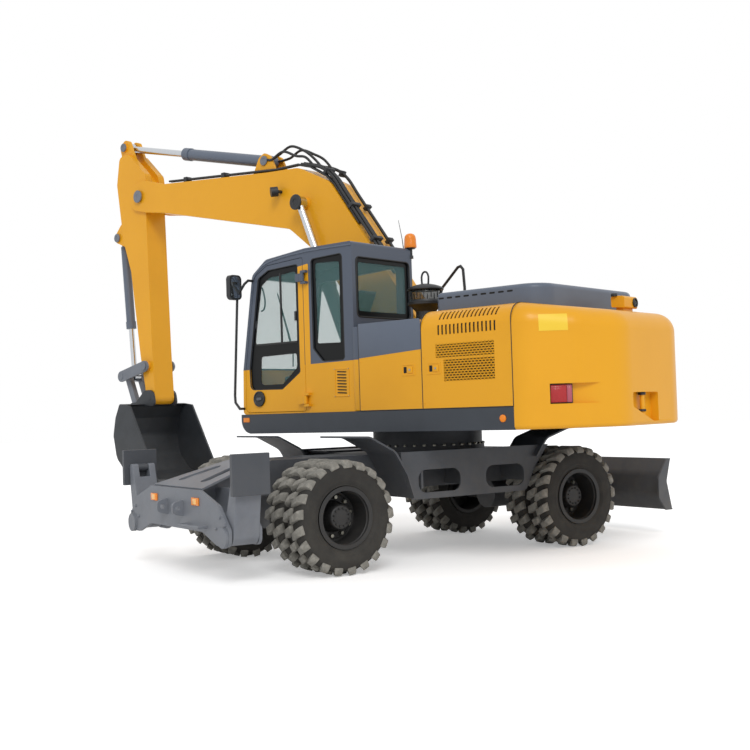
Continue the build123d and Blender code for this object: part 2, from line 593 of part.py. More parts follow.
with BuildPart() as cab_glass:
    for across, rows in ((cab_left_y - cab_wall / 2, rear_side_window_rows),
                         (cab_right_y + cab_wall / 2, right_window_rows)):
        slab(side_plane(upper, across), rows, glass_thick, inset=seat_gap)
    slab(front_plane(upper, cab_rear_x + cab_wall / 2),
         rect(rear_window_y[0], rear_window_z[0], rear_window_y[1], rear_window_z[1], 50), glass_thick,
         inset=seat_gap)
    with BuildSketch(side_plane(upper, windscreen_y[1] - seat_gap)) as pane:
        low_z = windscreen_z[0] + seat_gap
        high_z = windscreen_z[1] - seat_gap
        low_x = 1592 + windscreen_slope * (low_z - 1970) - 30
        high_x = 1592 + windscreen_slope * (high_z - 1970) - 30
        with BuildLine():
            Polyline((low_x, low_z), (low_x + glass_thick, low_z), (high_x + glass_thick, high_z),
                     (high_x, high_z), close=True)
        make_face()
    extrude(amount=windscreen_y[1] - windscreen_y[0] - 2 * seat_gap)
save(cab_glass.part, "cab_glass")

# Door: the whole wall's thickness, with its window and hinge eyes
with BuildPart() as door:
    slab(side_plane(upper, cab_left_y - cab_wall / 2), door_rows, cab_wall)
    slab(side_plane(upper, cab_left_y), door_glass_rows, 3 * cab_wall, mode=Mode.SUBTRACT)
    for up in (1620, 2900):
        bar((door_hinge_x, door_hinge_y, up - 42), (door_hinge_x, door_hinge_y, up + 42), hinge_radius + 10)
        block(upper, (door_hinge_x, cab_left_y + 8, up - 42), (door_hinge_x + 90, door_hinge_y + 12, up + 42))
        block(upper, (door_hinge_x + 26, cab_left_y - 5, up - 42), (door_hinge_x + 90, door_hinge_y, up + 42))
        bar((door_hinge_x, door_hinge_y, up - 50), (door_hinge_x, door_hinge_y, up + 50), hinge_radius + 0.3,
            mode=Mode.SUBTRACT)
    bar((1340, cab_left_y - 5, 1650), (1340, cab_left_y + 12, 1650), 80)
save(door.part, "cab_door")

with BuildPart() as door_glass:
    slab(side_plane(upper, cab_left_y - cab_wall / 2), door_glass_rows, glass_thick, inset=seat_gap)
save(door_glass.part, "door_glass")

# Seat and consoles
with BuildPart() as seat:
    seat_y = cab_middle_y
    floor_z = deck_top_z + cab_wall + seat_gap
    block(upper, (330, seat_y - 200, floor_z), (780, seat_y + 200, 1800))
    block(upper, (300, seat_y - 250, 1800), (850, seat_y + 250, 1930))
    slab(side_plane(upper, seat_y), [(250, 1900, 40), (380, 1900, 0), (330, 2560, 50), (190, 2560, 50)], 480)
    slab(side_plane(upper, seat_y), [(215, 2520, 0), (315, 2520, 0), (290, 2760, 40), (190, 2760, 40)], 280)
save(seat.part, "seat")

with BuildPart() as consoles:
    for side in (1, -1):
        block(upper, (330, seat_y + side * 330 - 60, floor_z), (800, seat_y + side * 330 + 60, 2010))
        bar((740, seat_y + side * 330, 2000), (760, seat_y + side * 330, 2160), 22)
    block(upper, (1180, seat_y - 120, floor_z), (1330, seat_y + 120, 1900))
    bar((1250, seat_y, 1880), (1130, seat_y, 2180), 28)
    slab(Plane((1130, seat_y, 2180), x_dir=(0, 1, 0), z_dir=(-0.37, 0, 0.93)), rect(-170, -170, 170, 170, 169), 30)
save(consoles.part, "cab_consoles")

# Side housings: the compartment behind the cab, the engine doors, the tank and step on the right
with BuildPart() as housings:
    for side in (1, -1):
        inner_y = panel_inner_y if side > 0 else lane_right_y - 20
        panel_rows = [(inner_y, deck_top_z, 0), (side * half_width, deck_top_z, 0),
                      (side * half_width, panel_top_z, 130), (inner_y, panel_top_z, 30)]
        extrude(outline(front_plane(upper, engine_front_x + 5), panel_rows),
                amount=panel_front_x - engine_front_x - 5)
        inner_y = half_width - panel_wall
        door_section = [
            (half_width, deck_top_z, 0), (half_width, engine_top_z, shoulder_radius),
            (flange_y, engine_top_z, 0), (flange_y, engine_top_z - panel_wall, 0),
            (inner_y, engine_top_z - panel_wall, shoulder_radius - panel_wall), (inner_y, deck_top_z, 0),
        ]
        extrude(outline(front_plane(upper, deck_rear_x + 3), [(side * y, z, r) for y, z, r in door_section]),
                amount=engine_front_x - deck_rear_x - 3)
        with BuildSketch(side_plane(upper, side * (half_width + 20))) as openings:
            for low_z, high_z in louvre_rows:
                with Locations(((louvre_x[0] + louvre_x[1]) / 2, (low_z + high_z) / 2)):
                    with GridLocations((louvre_x[1] - louvre_x[0]) / (slot_count - 1), 1, slot_count, 1):
                        Rectangle(louvre_width, high_z - low_z)
            for low_x, high_x, low_z, high_z, rows in grille_fields:
                with Locations(((low_x + high_x) / 2, (low_z + high_z) / 2)):
                    Rectangle(high_x - low_x, high_z - low_z)
        extrude(openings.sketch, amount=side * louvre_reach, mode=Mode.SUBTRACT)
    bulkhead_y = half_width - panel_wall + 10
    block(upper, (engine_front_x - 5, -bulkhead_y, deck_top_z), (engine_front_x + 5, bulkhead_y, panel_top_z - 60))
    slab(side_plane(upper, (step_side_y[0] + step_side_y[1]) / 2),
         [(panel_front_x, deck_top_z, 0), (1000, deck_top_z, 0), (1000, tank_top_z, 60),
          (panel_front_x, tank_top_z, 0)],
         step_side_y[1] - step_side_y[0])
    slab(side_plane(upper, (step_side_y[0] + step_side_y[1]) / 2),
         [(1000, deck_top_z, 0), (1520, deck_top_z, 60), (1500, 1780, 60), (1000, 1780, 0)],
         step_side_y[1] - step_side_y[0])
save(housings.part, "side_housings")

# Grilles in the engine doors: plates of slots that stand in turn from row to row
with BuildPart() as grilles:
    for side in (1, -1):
        for low_x, high_x, low_z, high_z, rows in grille_fields:
            plate = rect(low_x + seat_gap, low_z + seat_gap, high_x - seat_gap, high_z - seat_gap)
            face = outline(side_plane(upper, side * (half_width - panel_wall / 3)), plate)
            pitch = grille_slot[0] + grille_bar
            with BuildSketch(side_plane(upper, side * (half_width - panel_wall / 3))) as slots:
                for row in range(rows):
                    inset = 25 + row % 2 * pitch / 2
                    count = int((high_x - low_x - inset - 20 + grille_bar) // pitch)
                    up = low_z + (row + 0.5) * (high_z - low_z) / rows
                    for index in range(count):
                        with Locations((low_x + inset + index * pitch + grille_slot[0] / 2, up)):
                            Rectangle(*grille_slot)
            extrude(face - slots.sketch, amount=grille_thick / 2, both=True)
save(grilles.part, "engine_grilles")

with BuildPart() as side_lamps:
    for side in (1, -1):
        lamp_foot = (side_lamp_x, side * (half_width + seat_gap), side_lamp_z)
        bar(lamp_foot, (side_lamp_x, side * (half_width + 16), side_lamp_z), 32)
save(side_lamps.part, "side_lamps")

with BuildPart() as engine:
    block(upper, (-1800, -450, deck_top_z), (-1150, 450, 2250))
save(engine.part, "engine")

tail_line = [(deck_rear_x, engine_top_z), (deck_rear_x - 740, engine_top_z - 740 * tail_fall)]
with BuildPart() as hood:
    hood_plan = rect(hood_x[0], -hood_half_width, hood_x[1], hood_half_width)
    hood_plan = [(x, y, 250 if x == hood_x[0] else 60) for x, y, r in hood_plan]
    extrude(outline(top_plane(upper, engine_top_z - 40), hood_plan), amount=hood_top_z - engine_top_z + 40)
    fillet(hood.faces().sort_by(Axis.Z)[-1].edges(), 45)
    slab(side_plane(upper, 0),  # its foot follows the doors' and the counterweight's tops
         [(0, engine_top_z + seat_gap, 0)] + [(x, z + seat_gap, 0) for x, z in tail_line]
         + [(tail_line[1][0], engine_top_z - 300, 0), (0, engine_top_z - 300, 0)], 2 * half_width,
         mode=Mode.SUBTRACT)
    with BuildSketch(side_plane(upper, hood_half_width + 20)) as slots:
        with Locations(((louvre_x[0] + hood_x[1]) / 2 - 20, hood_top_z - 45 - hood_slot[1])):
            with GridLocations(100, 1, hood_slot_count, 1):
                SlotOverall(*hood_slot)
    extrude(slots.sketch, amount=35, mode=Mode.SUBTRACT)
save(hood.part, "hood")

# Counterweight: a tail with a rounded shoulder, a pocket for each tail light and one for the hitch
(light_x, light_y), (flush_x, flush_y) = light_ends
pocket_run = Vector(flush_x - light_x, flush_y - light_y).normalized()
pocket_out = Vector(pocket_run.Y, -pocket_run.X)
deep = Vector(light_x, light_y) - pocket_out * light_depth
with BuildPart() as counterweight:
    extrude(outline(top_plane(upper, deck_low_z),
                    [(deck_rear_x, half_width, 0), (deck_rear_x, -half_width, 0)] + tail_rows
                    + [(x, -y, r) for x, y, r in reversed(tail_rows)]), amount=engine_top_z - deck_low_z)
    slab(side_plane(upper, 0), [(x, z, 0) for x, z in tail_line]
         + [(tail_line[1][0], engine_top_z + 200, 0), (deck_rear_x, engine_top_z + 200, 0)],
         2 * half_width + 100, mode=Mode.SUBTRACT)
    for edges, radius in ((counterweight.faces().sort_by(Axis.Z)[-1].edges(), shoulder_radius),
                          (counterweight.faces().sort_by(Axis.Z)[0].edges(), 40)):
        fillet([edge for edge in edges if edge.center().X < deck_rear_x - 1], radius)
    hitch_outline = [(hitch_y + y, z, r) for y, z, r in hitch_rows]
    extrude(outline(front_plane(upper, counterweight_rear_x - 10), hitch_outline), amount=hitch_depth + 10,
            mode=Mode.SUBTRACT)
    bar((counterweight_rear_x + 40, hitch_y, 1350), (counterweight_rear_x + 40, hitch_y, 1600), 22)
    for side in (1, -1):
        corners = [deep, Vector(flush_x, flush_y), Vector(flush_x, flush_y) + pocket_out * 150,
                   Vector(light_x, light_y) + pocket_out * 150]
        extrude(outline(top_plane(upper, tail_light_z[0]), [(c.X, side * c.Y, 0) for c in corners]),
                amount=tail_light_z[1] - tail_light_z[0], mode=Mode.SUBTRACT)
save(counterweight.part, "counterweight")

with BuildPart() as tail_lights:
    for side in (1, -1):
        floor_run = (Vector(flush_x, flush_y) - deep).normalized()
        floor_out = Vector(floor_run.Y, -floor_run.X)
        start = deep + floor_run * 12 + floor_out * seat_gap
        corners = [start, start + floor_run * tail_light_width,
                   start + floor_run * tail_light_width + floor_out * 26, start + floor_out * 26]
        extrude(outline(top_plane(upper, tail_light_z[0] + 6), [(c.X, side * c.Y, 0) for c in corners]),
                amount=tail_light_z[1] - tail_light_z[0] - 12)
save(tail_lights.part, "tail_lights")

with BuildPart() as work_light:
    foot_z = engine_top_z - (deck_rear_x - work_light_at[0]) * tail_fall + seat_gap
    tail_side = Plane((*work_light_at, foot_z), x_dir=(1, 0, tail_fall), z_dir=(0, -1, 0))
    slab(tail_side, rect(-45, 0, 45, 50), 200)
    slab(tail_side, [(x, y, 20) for x, y, r in rect(-75, 40, 75, 150)], 260)
save(work_light.part, "work_light")

# Air pre-cleaner, beacon, rails and mirrors
with BuildPart() as pre_cleaner:
    bar((-480, 560, panel_top_z + seat_gap), (-480, 560, 2520), 85)
    bar((-480, 560, 2520), (-480, 560, 2720), 180)
    bar((-480, 560, 2720), (-480, 560, 2770), 150)
    pipe([(-520, 560, 2760), (-520, 560, 2860), (-500, 560, 2890), (-460, 560, 2890), (-440, 560, 2860),
          (-440, 560, 2760)], 12)
save(pre_cleaner.part, "pre_cleaner")

with BuildPart() as beacon:
    bar((20, 330, cab_roof_z + seat_gap), (20, 330, 3300), 18)
    bar((20, 330, 3300), (20, 330, 3400), 60)
save(beacon.part, "beacon")

with BuildPart() as rails:
    pipe([(1400, cab_left_y + seat_gap, 2940), (1400, 1280, 2940), (1440, 1300, 2905), (1560, 1300, 2780),
          (1640, 1300, 1700), (1635, 1300, 1620), (1588, 1280, 1550), (1588, cab_left_y + seat_gap, 1550)], 14)
    rail_low_z = tank_top_z + seat_gap
    pipe([(600, -1100, rail_low_z), (600, -1100, 2860), (570, -1100, 2930), (330, -1100, 3150),
          (290, -1100, 3160), (255, -1100, 3120), (240, -1100, 2900), (240, -1100, rail_low_z)], 17)
    slab(front_plane(upper, 1560), rect(1260, 2740, 1430, 3010, 50), 60)
save(rails.part, "rails_and_mirrors")

# Boom, its lamp and pipes
with BuildPart() as boom:
    slab(side_plane(upper, boom_y), boom_rows, 2 * boom_half,
         [(*boom_foot, main_pin_radius + pin_gap)])
    slab(side_plane(upper, boom_y),
         [(4560, 4150, 0), (5300, 4150, 0), (5300, 4900, 0), (4400, 4900, 0), (4400, 4740, 0), (4560, 4530, 0)],
         2 * (arm_half + side_gap), mode=Mode.SUBTRACT)
    cross_bar(upper, *boom_tip, boom_y - boom_half - 25, boom_y + boom_half + 25, main_pin_radius)
    for side in (1, -1):
        cross_bar(upper, *boom_cylinder_eye, boom_y + side * (boom_half - 10),
                  boom_y + side * (boom_cylinder_y - 58 - side_gap), 75)
        slab(side_plane(upper, boom_y + side * 100),
             [(2250, 4380, 0), (2750, 4420, 0), (2600, 4690, 60), (2500, 4740, 60), (2400, 4690, 60)], 36)
    cross_bar(upper, *arm_cylinder_base, boom_y - 125, boom_y + 125, cylinder_pin_radius)
save(boom.part, "boom")

with BuildPart() as fittings:
    lamp_y = boom_y + boom_half
    bar((2130, lamp_y + 0.3, 4180), (2130, lamp_y + 60, 4180), 20)
    bar((2130, lamp_y + 60, 4180), (2180, lamp_y + 130, 4170), 60)
    for across in (lamp_y - 30, lamp_y - 64):
        pipe([(900, across, 3640), (1270, across, 4150), (1400, across, 4270), (1660, across, 4420),
              (1860, across, 4477), (2250, across, 4480), (4300, across, 4660)], 14)
    for x, z in ((3200, 4534.8), (3950, 4599.5)):
        block(upper, (x - 30, lamp_y - 100, z), (x + 30, lamp_y - 8, z + 60))
save(fittings.part, "boom_pipes")

# Arm with its ears, the bucket linkage and the bucket
with BuildPart() as arm:
    slab(side_plane(upper, boom_y), arm_rows, 2 * arm_half)
    slab(side_plane(upper, boom_y),  # room for the cylinder's eye between the ears
         [(5420, 5095, 0), (5222, 5108, 0), (4891, 4795, 0), (4760, 4673, 0), (4700, 5300, 0), (5420, 5300, 0)],
         2 * 64, mode=Mode.SUBTRACT)
    for side in (1, -1):
        slab(side_plane(upper, boom_y + side * 86),
             [(5120, 5100, 0), (5250, 5390, 60), (5350, 5420, 80), (5460, 5330, 80), (5404, 5100, 0)], 40)
        cross_bar(upper, *arm_cylinder_eye, boom_y + side * 66, boom_y + side * 125, 60)
        slab(side_plane(upper, boom_y + side * 92),
             [(5340, 4250, 0), (5480, 4230, 40), (5630, 4080, 60), (5600, 3990, 60), (5330, 3880, 0)], 40)
        cross_bar(upper, *rocker_pin, boom_y + side * (arm_half - 10), boom_y + side * (arm_half + 40), 60)
        cross_bar(upper, *rocker_pin, boom_y + side * (arm_half - 10), boom_y + side * rocker_end_y,
                  cylinder_pin_radius)
    cross_bar(upper, *bucket_cylinder_base, boom_y - 120, boom_y + 120, cylinder_pin_radius)
    cross_bar(upper, *boom_tip, boom_y - arm_half - 10, boom_y + arm_half + 10, main_pin_radius + pin_gap,
              mode=Mode.SUBTRACT)
    cross_bar(upper, *bucket_pin, boom_y - arm_half - 10, boom_y + arm_half + 10, cylinder_pin_radius + pin_gap,
              mode=Mode.SUBTRACT)
save(arm.part, "arm")

with BuildPart() as rocker:
    for side in (1, -1):
        across = boom_y + side * (rocker_end_y - 23)
        with BuildSketch(side_plane(upper, across)) as plate:
            with Locations(rocker_pin, link_pin):
                Circle(75)
            make_hull()
            with Locations(rocker_pin):
                Circle(cylinder_pin_radius + pin_gap, mode=Mode.SUBTRACT)
        extrude(amount=15, both=True)
        cross_bar(upper, *link_pin, boom_y + side * 62, boom_y + side * rocker_end_y, cylinder_pin_radius)
save(rocker.part, "rocker")

with BuildPart() as link:
    for side in (1, -1):
        across = boom_y + side * 105
        with BuildSketch(side_plane(upper, across)) as plate:
            with Locations(link_pin, bucket_link_pin):
                Circle(48)
            make_hull()
            with Locations(link_pin):
                Circle(62)
            with Locations(bucket_link_pin):
                Circle(54)
        extrude(amount=35, both=True)
    cross_bar(upper, *bucket_link_pin, boom_y - arm_half, boom_y + arm_half, 50)
    cross_bar(upper, *link_pin, boom_y - arm_half, boom_y + arm_half, cylinder_pin_radius + pin_gap,
              mode=Mode.SUBTRACT)
save(link.part, "bucket_link")

ear_inner = arm_half + side_gap
with BuildPart() as bucket:
    slab(side_plane(upper, boom_y), bucket_rows, 2 * bucket_half)
    inner_rows = [(4740, 1700, 0)] + [(x + dx, z + dz, r) for (x, z, r), dx, dz in zip(
        bucket_rows[1:-1], (-20, -28, -bucket_wall, -26, -12, -6), (-30, -10, 0, 14, 26, bucket_wall))]
    inner_rows += [(4230, 620 + bucket_wall, 0), (4100, 700, 0)]
    slab(side_plane(upper, boom_y), inner_rows, 2 * (bucket_half - bucket_wall), mode=Mode.SUBTRACT)
    for side in (1, -1):
        slab(side_plane(upper, boom_y + side * (ear_inner + 15)),
             [(4700, 1640, 60), (4740, 1860, 100), (4920, 1860, 100), (5120, 1700, 0), (5270, 1690, 70),
              (5280, 1560, 70), (5150, 1380, 0), (5105, 1490, 0), (5010, 1664, 0), (4830, 1640, 0)], 30)
        cross_bar(upper, *bucket_link_pin, boom_y + side * ear_inner, boom_y + side * (ear_inner + 33), 70)
    cross_bar(upper, *bucket_pin, boom_y - ear_inner - 33, boom_y + ear_inner + 33, cylinder_pin_radius)
    for index in range(tooth_count):
        tooth_y = boom_y + (index - (tooth_count - 1) / 2) * (2 * bucket_half - 110) / (tooth_count - 1)
        slab(side_plane(upper, tooth_y),
             [(4330, 605, 0), (4330, 665, 0), (4200, 672, 0), (4085, 600, 0), (4080, 585, 0), (4200, 598, 0)], 90)
save(bucket.part, "bucket")
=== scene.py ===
"""The looks of a wheeled excavator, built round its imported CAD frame.

Lengths are in metres. The upper structure's frame is the row's own: along runs the way the boom points,
across runs to the cab's side. The undercarriage stands turned under it in a frame of its own.
"""

import json
import logging
import math
from dataclasses import dataclass, field
from enum import Enum
from typing import Iterable, Sequence

import bmesh
import bpy
from mathutils import Matrix, Vector
from mathutils.bvhtree import BVHTree

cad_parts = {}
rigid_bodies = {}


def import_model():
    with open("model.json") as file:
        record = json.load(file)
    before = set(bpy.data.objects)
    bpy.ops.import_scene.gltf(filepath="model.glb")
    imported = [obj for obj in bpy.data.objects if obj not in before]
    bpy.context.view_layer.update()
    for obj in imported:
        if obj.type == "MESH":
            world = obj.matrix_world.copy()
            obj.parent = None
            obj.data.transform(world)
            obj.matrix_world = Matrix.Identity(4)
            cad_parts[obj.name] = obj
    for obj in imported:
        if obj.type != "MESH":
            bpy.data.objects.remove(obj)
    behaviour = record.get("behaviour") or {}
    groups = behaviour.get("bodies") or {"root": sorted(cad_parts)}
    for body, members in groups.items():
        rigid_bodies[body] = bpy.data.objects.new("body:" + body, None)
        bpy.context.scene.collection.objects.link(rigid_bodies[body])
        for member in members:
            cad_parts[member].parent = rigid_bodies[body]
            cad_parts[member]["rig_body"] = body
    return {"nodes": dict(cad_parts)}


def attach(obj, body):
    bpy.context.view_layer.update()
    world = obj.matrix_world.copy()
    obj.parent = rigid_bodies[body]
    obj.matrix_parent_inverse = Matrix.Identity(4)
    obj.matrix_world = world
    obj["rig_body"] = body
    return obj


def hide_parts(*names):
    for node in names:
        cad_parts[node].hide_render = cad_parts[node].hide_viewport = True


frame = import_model()
LOG = logging.getLogger("excavator")
Rows = Sequence[tuple[float, float, float]]
Mark = tuple[Vector, Vector, Vector]  # a place, its outward direction and the way its item's length runs

AHEAD, OUT, UP = Vector((1, 0, 0)), Vector((0, 1, 0)), Vector((0, 0, 1))
SIDES = ((1, "left"), (-1, "right"))
ARC_STEP_DEG = 7.0  # the most that one short side of an arc turns
SMOOTH_DEG = 32.0  # edges up to this angle stay unrounded and shade smooth
STEPPED_DEG = 25.0  # the same for turned pieces, whose steps stay crisp
SHARP_MARGIN_DEG = 8.0  # how far past that angle an edge has to be to shade sharp


@dataclass(frozen=True)
class Frame:
    """A level frame.

    Attributes:
        turn_deg: How far its along direction is turned from the row's +X.
    """

    turn_deg: float

    def at(self, along: float, across: float, up: float) -> Vector:
        """Returns the point at these three distances."""
        c, s = math.cos(math.radians(self.turn_deg)), math.sin(math.radians(self.turn_deg))
        return Vector((along * c - across * s, along * s + across * c, up))


UPPER = Frame(0.0)
UNDER = Frame(74.43)


class View(Enum):
    """The level or upright plane in which an outline is drawn."""

    SIDE = "along, up"
    FRONT = "across, up"
    TOP = "along, across"

    def place(self, level: Frame, x: float, y: float, depth: float) -> Vector:
        """Puts a drawn point into space.

        Args:
            level: The frame in which the plane stands.
            x: The first drawn coordinate.
            y: The second drawn coordinate.
            depth: The distance across the plane.

        Returns:
            The point in the row frame.
        """
        if self is View.SIDE:
            return level.at(x, depth, y)
        if self is View.FRONT:
            return level.at(depth, x, y)
        return level.at(x, y, depth)


def rounded(rows: Rows, step_deg: float = ARC_STEP_DEG) -> list[tuple[float, float]]:
    """Works out the arcs at an outline's corners.

    Args:
        rows: Corners as x, y, radius.
        step_deg: The most that one short side of an arc turns.

    Returns:
        The outline's points in order.
    """
    points: list[tuple[float, float]] = []
    for index, (x, y, radius) in enumerate(rows):
        here = Vector((x, y))
        to_last = Vector(rows[index - 1][:2]) - here
        to_next = Vector(rows[(index + 1) % len(rows)][:2]) - here
        if radius <= 0:
            points.append((x, y))
            continue
        opening = to_last.angle(to_next)
        reach = min(radius / math.tan(opening / 2), 0.495 * to_last.length, 0.495 * to_next.length)
        radius = reach * math.tan(opening / 2)
        bisector = (to_last.normalized() + to_next.normalized()).normalized()
        centre = here + bisector * (radius / math.sin(opening / 2))
        spoke = here + to_last.normalized() * reach - centre
        sweep = math.pi - opening
        if spoke.x * (here - centre).y - spoke.y * (here - centre).x < 0:
            sweep = -sweep
        steps = max(2, math.ceil(math.degrees(abs(sweep)) / step_deg))
        for step in range(steps + 1):
            a = sweep * step / steps
            points.append((centre.x + spoke.x * math.cos(a) - spoke.y * math.sin(a),
                           centre.y + spoke.x * math.sin(a) + spoke.y * math.cos(a)))
    return points


def box_rows(low_x: float, low_y: float, high_x: float, high_y: float, radius: float = 0.0) -> Rows:
    """Returns the corner rows of an upright rectangle."""
    return [(low_x, low_y, radius), (high_x, low_y, radius), (high_x, high_y, radius), (low_x, high_y, radius)]


def eased(points: Iterable[Sequence[float]], parts: int = 8) -> list[Vector]:
    """Runs a smooth line through some points.

    Args:
        points: The points that it passes.
        parts: How many short sides lie between two of them.

    Returns:
        The line's points.
    """
    knots = [Vector(p) for p in points]
    knots = [2 * knots[0] - knots[1], *knots, 2 * knots[-1] - knots[-2]]
    line = []
    for p0, p1, p2, p3 in zip(knots, knots[1:], knots[2:], knots[3:]):
        for part in range(parts):
            t = part / parts
            line.append(0.5 * (2 * p1 + (p2 - p0) * t + (2 * p0 - 5 * p1 + 4 * p2 - p3) * t ** 2
                               + (3 * p1 - p0 - 3 * p2 + p3) * t ** 3))
    return [*line, knots[-2]]


# ---------------------------------------------------------------- finishes

DUST_COLOUR = "#8F8778"
DUST_FROM_Z, DUST_FULL_Z = 1.3, 0.2  # the heights between which dust gathers
PATCH_FROM, PATCH_FULL = 0.45, 0.75  # the noise values between which the second colour comes in
ROUGH_SPREAD = 0.18  # how far the roughness wanders with the grain
COAT_ROUGHNESS = 0.12


def linear(colour: str) -> tuple[float, float, float, float]:
    """Turns an sRGB hex colour into the linear one that a shader takes.

    Args:
        colour: Six hex digits after a hash.

    Returns:
        Red, green, blue and a full alpha.
    """
    parts = [int(colour[i:i + 2], 16) / 255 for i in (1, 3, 5)]
    return (*[c / 12.92 if c <= 0.04045 else ((c + 0.055) / 1.055) ** 2.4 for c in parts], 1.0)


def add_node(tree: bpy.types.NodeTree, kind: str, settings: dict | None = None,
             links: dict | None = None) -> bpy.types.Node:
    """Adds a node with its settings and links.

    Args:
        tree: The tree that gets the node.
        kind: The node's type name.
        settings: Values by attribute name, or by the name or number of an input.
        links: Output sockets by the name or number of the input that they feed.

    Returns:
        The new node.
    """
    node = tree.nodes.new(kind)
    for name, value in (settings or {}).items():
        if isinstance(name, str) and hasattr(node, name):
            setattr(node, name, value)
        else:
            node.inputs[name].default_value = value
    for name, source in (links or {}).items():
        tree.links.new(source, node.inputs[name])
    return node


def bumped(tree: bpy.types.NodeTree, shader: bpy.types.Node, height: bpy.types.NodeSocket, strength: float,
           depth: float) -> None:
    """Presses a pattern into a shader's surface.

    Args:
        tree: The tree that both are in.
        shader: The shader.
        height: The pattern's height.
        strength: How strongly it shows.
        depth: How deep it is.
    """
    bump = add_node(tree, "ShaderNodeBump", {"Strength": strength, "Distance": depth}, {"Height": height})
    tree.links.new(bump.outputs["Normal"], shader.inputs["Normal"])


@dataclass(frozen=True)
class Finish:
    """A surface's finish, built once as a node material.

    Attributes:
        name: What the finish is.
        colour: Its sRGB colour.
        second: The colour of its patches, dust or grain.
        patch_mm: The patches' size.
        patch_share: How strongly the second colour shows in them.
        dust: How strongly dust gathers low on it, from 0 to 1.
        roughness: How rough it is.
        metallic: 1 for bare metal.
        ior: Its index of refraction.
        coat: How much clear coat lies on it.
        grain_mm: The size of its grain.
        relief_mm: How deep that grain is.
    """

    name: str
    colour: str
    second: str
    patch_mm: float = 400.0
    patch_share: float = 0.25
    dust: float = 0.0
    roughness: float = 0.4
    metallic: float = 0.0
    ior: float = 1.5
    coat: float = 0.0
    grain_mm: float = 2.0
    relief_mm: float = 0.02

    def shade(self, tree: bpy.types.NodeTree, where: bpy.types.NodeSocket) -> bpy.types.NodeSocket:
        """Builds the colour of the finish.

        Args:
            tree: The material's tree.
            where: The object coordinates.

        Returns:
            The colour socket.
        """
        patches = add_node(tree, "ShaderNodeTexNoise", {"Scale": 1000 / self.patch_mm, "Detail": 6.0,
                                                        "Roughness": 0.62}, {"Vector": where})
        share = add_node(tree, "ShaderNodeMapRange", {"From Min": PATCH_FROM, "From Max": PATCH_FULL,
                                                      "To Min": 0.0, "To Max": self.patch_share},
                         {"Value": patches.outputs["Fac"]})
        mixed = add_node(tree, "ShaderNodeMix", {"data_type": "RGBA", 6: linear(self.colour),
                                                 7: linear(self.second)}, {0: share.outputs["Result"]})
        if self.dust <= 0:
            return mixed.outputs[2]
        height = add_node(tree, "ShaderNodeSeparateXYZ", {}, {0: where})
        low = add_node(tree, "ShaderNodeMapRange", {"From Min": DUST_FROM_Z, "From Max": DUST_FULL_Z,
                                                    "To Min": 0.0, "To Max": self.dust}, {"Value": height.outputs["Z"]})
        cloud = add_node(tree, "ShaderNodeTexNoise", {"Scale": 9.0, "Detail": 8.0}, {"Vector": where})
        amount = add_node(tree, "ShaderNodeMath", {"operation": "MULTIPLY"},
                          {0: low.outputs["Result"], 1: cloud.outputs["Fac"]})
        dusty = add_node(tree, "ShaderNodeMix", {"data_type": "RGBA", 7: linear(DUST_COLOUR)},
                         {0: amount.outputs["Value"], 6: mixed.outputs[2]})
        return dusty.outputs[2]

    def build(self) -> bpy.types.Material:
        """Returns the material, made at its first use."""
        found = bpy.data.materials.get(self.name)
        if found:
            return found
        material = bpy.data.materials.new(self.name)
        material.use_nodes = True
        tree = material.node_tree
        shader = tree.nodes["Principled BSDF"]
        where = add_node(tree, "ShaderNodeTexCoord").outputs["Object"]
        tree.links.new(self.shade(tree, where), shader.inputs["Base Color"])
        grain = add_node(tree, "ShaderNodeTexNoise", {"Scale": 1000 / self.grain_mm, "Detail": 3.0},
                         {"Vector": where})
        rough = add_node(tree, "ShaderNodeMapRange", {"To Min": self.roughness * (1 - ROUGH_SPREAD),
                                                      "To Max": min(1.0, self.roughness * (1 + ROUGH_SPREAD))},
                         {"Value": grain.outputs["Fac"]})
        tree.links.new(rough.outputs["Result"], shader.inputs["Roughness"])
        bumped(tree, shader, grain.outputs["Fac"], 0.6, self.relief_mm / 1000)
        shader.inputs["Metallic"].default_value = self.metallic
        if self.metallic < 1:
            shader.inputs["IOR"].default_value = self.ior
        shader.inputs["Coat Weight"].default_value = self.coat
        shader.inputs["Coat Roughness"].default_value = COAT_ROUGHNESS
        self.finish_off(tree, shader)
        return material

    def finish_off(self, tree: bpy.types.NodeTree, shader: bpy.types.Node) -> None:
        """Sets what only one kind of finish has."""


@dataclass(frozen=True)
class TwoTonePaint(Finish):
    """Enamel whose upper and lower parts differ, as on the cab and the compartment behind it.

    Attributes:
        upper: The colour above the line.
        line_front_z: The line's height at the front point.
        line_rear_z: The line's height at the rear point.
        front_x: The front point's place.
        rear_x: The rear point's place.
    """

    upper: str = "#707787"
    line_front_z: float = 1.97
    line_rear_z: float = 2.0
    front_x: float = 1.6
    rear_x: float = -0.06

    def shade(self, tree: bpy.types.NodeTree, where: bpy.types.NodeSocket) -> bpy.types.NodeSocket:
        """Adds the upper colour above the painted line.

        Args:
            tree: The material's tree.
            where: The object coordinates.

        Returns:
            The colour socket.
        """
        below = super().shade(tree, where)
        split = add_node(tree, "ShaderNodeSeparateXYZ", {}, {0: where})
        line = add_node(tree, "ShaderNodeMapRange", {"From Min": self.rear_x, "From Max": self.front_x,
                                                     "To Min": self.line_rear_z, "To Max": self.line_front_z},
                        {"Value": split.outputs["X"]})
        above = add_node(tree, "ShaderNodeMath", {"operation": "GREATER_THAN"},
                         {0: split.outputs["Z"], 1: line.outputs["Result"]})
        both = add_node(tree, "ShaderNodeMix", {"data_type": "RGBA", 7: linear(self.upper)},
                        {0: above.outputs["Value"], 6: below})
        return both.outputs[2]


